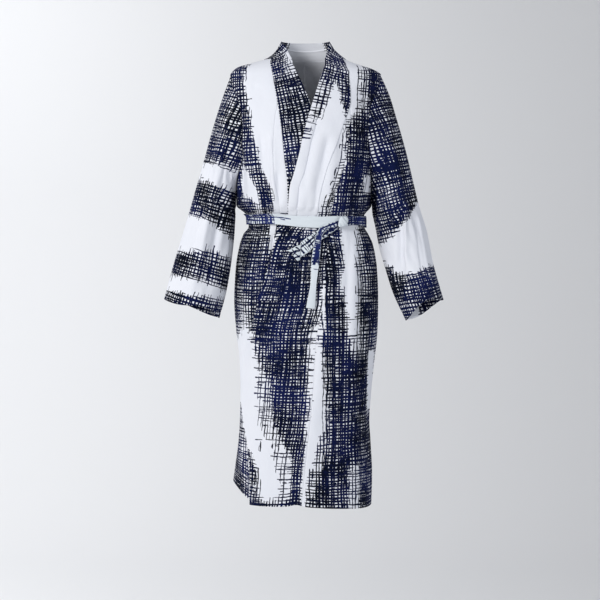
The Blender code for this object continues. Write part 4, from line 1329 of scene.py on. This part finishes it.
def build_tail(node, line, width, lift, flare, tail_print, material):
    """One hanging end of the belt, a flat strip along a line on the front."""
    points = np.array(line) * MM
    marks = np.arange(len(points), dtype=float)
    fine = np.linspace(0, len(points) - 1, TAIL_STATIONS)
    x = curve(fine, marks, points[:, 0])
    z = curve(fine, marks, points[:, 1])
    way_x = np.gradient(x)
    way_z = np.gradient(z)
    length = np.hypot(way_x, way_z)
    along = np.cumsum(length) - length[0]
    start = bump(along, TAIL_GATHER)
    share = np.linspace(-0.5, 0.5, TAIL_SHARES)
    wider = 1 + flare * smooth_step(along / along[-1], *TAIL_FLARES)
    across = share * (width * (1 - TAIL_GATHERED * start) * wider)[:, None]
    levels = z[:, None] + (way_x / length)[:, None] * across
    angles = front_angle(x[:, None] - (way_z / length)[:, None] * across, levels)
    wave = TAIL_WAVE[0] * np.sin(along * 2 * np.pi / TAIL_WAVE[1] + CUT_PLACES[node])[:, None]
    pleats = TAIL_PLEATS[0] * start[:, None] * np.cos(2 * np.pi * share * TAIL_PLEATS[1])
    surface = body_surface(angles, levels, lift + WALL + belt_crown(share) + wave + pleats)
    table = np.array(tail_print)
    ink = np.interp(along / along[-1], table[:, 0], table[:, 1])[:, None]
    ink = ink * smooth_step(0.5 - np.abs(share), 0.0, TAIL_BARE_EDGE)
    cut = (across + CUT_PLACES[node], along[:, None] + CUT_PLACES[node])
    return shell(node, surface, cut, ink, False, CLOTH, material)


def build_knot(material):
    """The flat knot on the belt, a small pleated pad over the two ends."""
    work = bmesh.new()
    bmesh.ops.create_uvsphere(work, u_segments=KNOT_SEGMENTS[0], v_segments=KNOT_SEGMENTS[1], radius=1.0)
    co = np.array([tuple(vertex.co) for vertex in work.verts])
    bulk = np.abs(co[:, 0]) ** KNOT_POWER + np.abs(co[:, 2]) ** KNOT_POWER
    bulk = bulk + np.abs(co[:, 1]) ** KNOT_DEPTH_POWER
    shape = co * (bulk ** (-1 / KNOT_POWER))[:, None]
    shape[:, 0] = np.clip(shape[:, 0], -1, 1)
    slant = shape[:, 0] * KNOT_PLEAT_WAY[0] + shape[:, 2] * KNOT_PLEAT_WAY[1]
    small, often, start = KNOT_SMALL_PLEATS
    pleats = KNOT_PLEATS[0] * np.cos(slant * KNOT_PLEATS[1]) - small * np.cos(slant * often + start)
    z = KNOT_CENTRE[1] + shape[:, 2] * KNOT_HALF_SIZE[1] * (1 - KNOT_TAPER * shape[:, 0])
    x = KNOT_CENTRE[0] + shape[:, 0] * KNOT_HALF_SIZE[0] * (1 - KNOT_NARROW) + KNOT_SLANT * shape[:, 2]
    thick = np.where(shape[:, 1] > 0, shape[:, 1] * (1 + pleats), shape[:, 1])
    lift = KNOT_LIFT + KNOT_HALF_THICKNESS * (1 + thick)
    placed = body_surface(front_angle(x, z), z, lift)
    for vertex, point in zip(work.verts, placed):
        vertex.co = point
    bmesh.ops.recalc_face_normals(work, faces=work.faces)
    if work.calc_volume(signed=True) < 0:
        bmesh.ops.reverse_faces(work, faces=work.faces)
    mesh = bpy.data.meshes.new("belt_knot_cloth")
    work.to_mesh(mesh)
    work.free()
    return cloth_piece(mesh, (x, -z, np.zeros(len(x))), material)


class Nodes:
    """Short calls to add and join shader nodes."""

    def __init__(self, tree):
        self.tree = tree

    def put(self, socket, value):
        """Link a socket or set it to a number or colour."""
        if isinstance(value, bpy.types.NodeSocket):
            self.tree.links.new(value, socket)
        elif value is not None:
            socket.default_value = value

    def math(self, operation, first, second=None, third=None):
        """One arithmetic step."""
        node = self.tree.nodes.new("ShaderNodeMath")
        node.operation = operation
        for socket, value in zip(node.inputs, (first, second, third)):
            self.put(socket, value)
        return node.outputs[0]

    def add(self, first, second):
        """The sum of two numbers."""
        return self.math("ADD", first, second)

    def less(self, first, second):
        """The first number less the second."""
        return self.math("SUBTRACT", first, second)

    def scale(self, first, second):
        """The product of two numbers."""
        return self.math("MULTIPLY", first, second)

    def vector(self, x, y, z):
        """A vector of three numbers."""
        node = self.tree.nodes.new("ShaderNodeCombineXYZ")
        for socket, value in zip(node.inputs, (x, y, z)):
            self.put(socket, value)
        return node.outputs[0]

    def attribute(self, name):
        """A number kept on the cloth."""
        node = self.tree.nodes.new("ShaderNodeAttribute")
        node.attribute_name = name
        return node.outputs["Fac"]

    def noise(self, place, scale, detail=2.0):
        """Smooth noise from 0 to 1."""
        node = self.tree.nodes.new("ShaderNodeTexNoise")
        self.put(node.inputs["Vector"], place)
        node.inputs["Scale"].default_value = scale
        node.inputs["Detail"].default_value = detail
        return node.outputs["Fac"]

    def chance(self, place):
        """Three random numbers for a place."""
        node = self.tree.nodes.new("ShaderNodeTexWhiteNoise")
        node.noise_dimensions = "3D"
        self.put(node.inputs["Vector"], place)
        parts = self.tree.nodes.new("ShaderNodeSeparateColor")
        self.tree.links.new(node.outputs["Color"], parts.inputs[0])
        return parts.outputs

    def ramp(self, value, low, high):
        """0 below low and 1 above high, with a soft start and end."""
        node = self.tree.nodes.new("ShaderNodeMapRange")
        node.interpolation_type = "SMOOTHSTEP"
        self.put(node.inputs["Value"], value)
        self.put(node.inputs["From Min"], low)
        self.put(node.inputs["From Max"], high)
        return node.outputs["Result"]

    def mix(self, share, first, second):
        """A colour between two."""
        node = self.tree.nodes.new("ShaderNodeMix")
        node.data_type = "RGBA"
        for place, value in ((0, share), (6, first), (7, second)):
            self.put(node.inputs[place], value)
        return node.outputs[2]

    def bump(self, height, look, normal=None):
        """A normal bent by a height, with the look's strength and distance."""
        node = self.tree.nodes.new("ShaderNodeBump")
        node.inputs["Strength"].default_value = look[0]
        node.inputs["Distance"].default_value = look[1]
        self.put(node.inputs["Height"], height)
        self.put(node.inputs["Normal"], normal)
        return node.outputs["Normal"]


def strokes(n, across, along, ink, full, layer, seed):
    """Uneven brush strokes that run along the cloth one way, and where they are kept."""
    spacing, thin, thick, spread, first_limit, limit_range, broken_scale = layer

    def sway(look, place):
        """Noise about 0, by its share and scale."""
        return n.scale(n.less(n.noise(place, look[1]), 0.5), look[0])

    stretched = n.vector(n.scale(across, WANDER_STRETCH[0]), n.scale(along, WANDER_STRETCH[1]), seed)
    wander = n.noise(stretched, STROKE_WANDER[1], 1.0)
    wobble = n.noise(n.vector(across, along, seed + WOBBLE_SEED), STROKE_WOBBLE[1], 1.0)
    place = n.add(n.scale(across, 1 / spacing), n.scale(wander, STROKE_WANDER[0]))
    place = n.add(place, n.scale(wobble, STROKE_WOBBLE[0]))
    index = n.math("FLOOR", place)
    drawn = n.chance(n.vector(index, seed, 0.5))
    centre = n.add(STROKE_CENTRE[0], n.scale(drawn[0], STROKE_CENTRE[1]))
    away = n.math("ABSOLUTE", n.less(n.less(place, index), centre))
    half = n.add(n.add(thin, n.scale(full, thick)), n.scale(drawn[1], spread))
    half = n.add(half, sway(STROKE_SWELL, n.vector(across, along, n.add(index, seed))))
    half = n.add(half, sway(STROKE_ROUGH, n.vector(across, along, seed + ROUGH_SEED)))
    shape = n.less(1.0, n.ramp(away, n.add(half, -STROKE_SOFT), n.add(half, STROKE_SOFT)))
    limit = n.add(first_limit, n.scale(drawn[2], limit_range))
    stretched = n.vector(n.scale(across, BREAK_STRETCH), along, n.scale(index, BREAK_SEED))
    broken = n.noise(stretched, broken_scale, 1.5)
    loose = n.math("MINIMUM", n.scale(ink, BREAK_GAIN[0]), BREAK_GAIN[1])
    kept = n.add(n.scale(ink, KEEP_GAIN), n.scale(n.less(broken, BREAK_LEVEL), loose))
    keep = n.ramp(kept, n.add(limit, -KEEP_SOFT), n.add(limit, KEEP_SOFT))
    return n.scale(shape, keep), keep, index


def lattice(n, u, v, ink, full):
    """Strokes both ways, finer ones between them, and some cells filled where both ways are kept."""
    down, keep_down, index_down = strokes(n, u, v, ink, full, STROKES_MAIN, SEED_DOWN)
    over, keep_over, index_over = strokes(n, v, u, ink, full, STROKES_MAIN, SEED_OVER)
    extra_down = strokes(n, u, v, ink, full, STROKES_EXTRA, SEED_EXTRA_DOWN)[0]
    extra_over = strokes(n, v, u, ink, full, STROKES_EXTRA, SEED_EXTRA_OVER)[0]
    cell = n.chance(n.vector(index_down, index_over, SEED_CELL))
    dense = n.add(cell[0], n.scale(n.less(full, 1.0), CELL_FULL_SHARE))
    mask = n.scale(n.scale(keep_down, keep_over), n.math("GREATER_THAN", dense, CELL_FILLED_FROM))
    for part in (down, over, extra_down, extra_over):
        mask = n.math("MAXIMUM", mask, part)
    return mask


def printed_material(name, light_white, dark_white, dark_navy, light_navy):
    """White cotton with an uneven lattice of navy brush strokes where the cloth is printed."""
    material = bpy.data.materials.new(name)
    material.use_nodes = True
    tree = material.node_tree
    n = Nodes(tree)
    shader = tree.nodes["Principled BSDF"]
    u, v, ink = (n.attribute(title) for title in CLOTH_NUMBERS)
    place = n.vector(u, v, 0.0)
    cloud = n.less(n.noise(place, CLOUD[1]), 0.5)
    core = n.math("MAXIMUM", n.less(ink, FULL_FROM), 0.0)
    full = n.add(n.scale(core, FULL_GAIN), n.scale(n.scale(cloud, CLOUD[0]), n.math("MINIMUM", ink, 1.0)))
    mask = lattice(n, u, v, ink, full)
    broad, patch = (n.scale(n.noise(place, size, 3.0), part) for part, size in TONE_NOISES)
    tone = n.ramp(n.add(broad, patch), *TONE_RANGE)
    navy = n.mix(tone, dark_navy, light_navy)
    white = n.mix(n.noise(place, WHITE_NOISE), dark_white, light_white)
    tree.links.new(n.mix(mask, white, navy), shader.inputs["Base Color"])
    for title, value in COTTON_LOOK.items():
        shader.inputs[title].default_value = value
    warp, weft = (n.math("SINE", n.scale(way, 2 * math.pi / THREAD)) for way in (u, v))
    slub_down = n.noise(n.vector(n.scale(u, SLUB_STRETCH), v, 0.0), SLUB_SCALE, 3.0)
    slub_over = n.noise(n.vector(u, n.scale(v, SLUB_STRETCH), 2.0), SLUB_SCALE, 3.0)
    weave = n.add(n.scale(warp, weft), n.scale(n.add(slub_down, slub_over), SLUB_HEIGHT))
    crinkle = n.noise(n.vector(u, n.scale(v, CRINKLE_STRETCH), 6.0), CRINKLE_SCALE, 3.0)
    normal = n.bump(crinkle, CRINKLE_BUMP, n.bump(weave, WEAVE_BUMP))
    tree.links.new(normal, shader.inputs["Normal"])
    return material


def build_backdrop():
    """A pale floor that curves up into a wall."""
    profile = [(BACKDROP_FRONT, FLOOR_Z)]
    for turn in np.linspace(0.0, np.pi / 2, BACKDROP_STEPS):
        profile.append((
            BACKDROP_BACK - BACKDROP_RADIUS + BACKDROP_RADIUS * math.sin(turn),
            FLOOR_Z + BACKDROP_RADIUS * (1 - math.cos(turn)),
        ))
    profile.append((BACKDROP_BACK, BACKDROP_TOP))
    points = []
    faces = []
    for y, z in profile:
        points += [(-BACKDROP_HALF_WIDTH, y, z), (BACKDROP_HALF_WIDTH, y, z)]
    for row in range(len(profile) - 1):
        faces.append((2 * row, 2 * row + 1, 2 * row + 3, 2 * row + 2))
    mesh = bpy.data.meshes.new("backdrop")
    mesh.from_pydata(points, [], faces)
    mesh.shade_smooth()
    backdrop = bpy.data.objects.new("backdrop", mesh)
    bpy.context.collection.objects.link(backdrop)
    material = bpy.data.materials.new("backdrop_paint")
    material.use_nodes = True
    shader = material.node_tree.nodes["Principled BSDF"]
    shader.inputs["Base Color"].default_value = BACKDROP_GREY
    for title, value in BACKDROP_LOOK.items():
        shader.inputs[title].default_value = value
    mesh.materials.append(material)


def aim(thing, place, target):
    """Put a camera or light at a place, looking at a target."""
    way = [target[part] - place[part] for part in range(3)]
    thing.location = place
    flat = math.hypot(way[0], way[1])
    thing.rotation_euler = (math.atan2(flat, -way[2]), 0.0, math.atan2(-way[0], way[1]))


def area_light(name, place, target, size, energy, colour):
    """A large soft light."""
    light = bpy.data.lights.new(name, "AREA")
    light.shape = "RECTANGLE"
    light.size, light.size_y = size
    light.energy = energy
    light.color = colour
    thing = bpy.data.objects.new(name, light)
    thing.visible_camera = False
    bpy.context.collection.objects.link(thing)
    aim(thing, place, target)


def build_view():
    """The camera, the soft studio lights and the pale surroundings."""
    camera = bpy.data.cameras.new("camera")
    camera.angle = 2 * math.atan(FRAME_WIDTH / 2 / CAMERA_DISTANCE)
    thing = bpy.data.objects.new("camera", camera)
    bpy.context.collection.objects.link(thing)
    aim(thing, CAMERA_PLACE, CAMERA_AIM)
    bpy.context.scene.camera = thing
    for name, parts in LIGHTS.items():
        area_light(name, *parts)
    world = bpy.data.worlds.new("surroundings")
    bpy.context.scene.world = world
    world.use_nodes = True
    background = world.node_tree.nodes["Background"]
    background.inputs["Color"].default_value = AIR_COLOUR
    background.inputs["Strength"].default_value = AIR_STRENGTH
    bpy.context.scene.view_settings.view_transform = "Standard"


def main():
    """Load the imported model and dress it."""
    for old in list(bpy.data.objects):
        bpy.data.objects.remove(old)
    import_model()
    cotton = printed_material("printed_cotton_cloth", COTTON_WHITE, COTTON_SHADE, NAVY_DARK, NAVY_BRIGHT)
    belt_whites = (BELT_WHITE, BELT_SHADE)
    belt_cotton = printed_material("belt_cotton_cloth", *belt_whites, BELT_NAVY_DARK, BELT_NAVY_BRIGHT)
    tail_cotton = printed_material("belt_tail_cotton", *belt_whites, NAVY_BRIGHT, BELT_NAVY_DARK)
    pieces = build_body(cotton)
    pieces["collar"] = build_collar(cotton)
    for node, parts in SLEEVES.items():
        pieces[node] = build_sleeve(node, *parts, cotton)
    pieces["belt_band"] = build_belt(belt_cotton)
    for node, parts in TAILS.items():
        pieces[node] = build_tail(node, *parts, tail_cotton if node == "belt_tail_short" else belt_cotton)
    pieces["belt_knot"] = build_knot(belt_cotton)
    for node, piece in pieces.items():
        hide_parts(node)
    build_backdrop()
    build_view()


main()
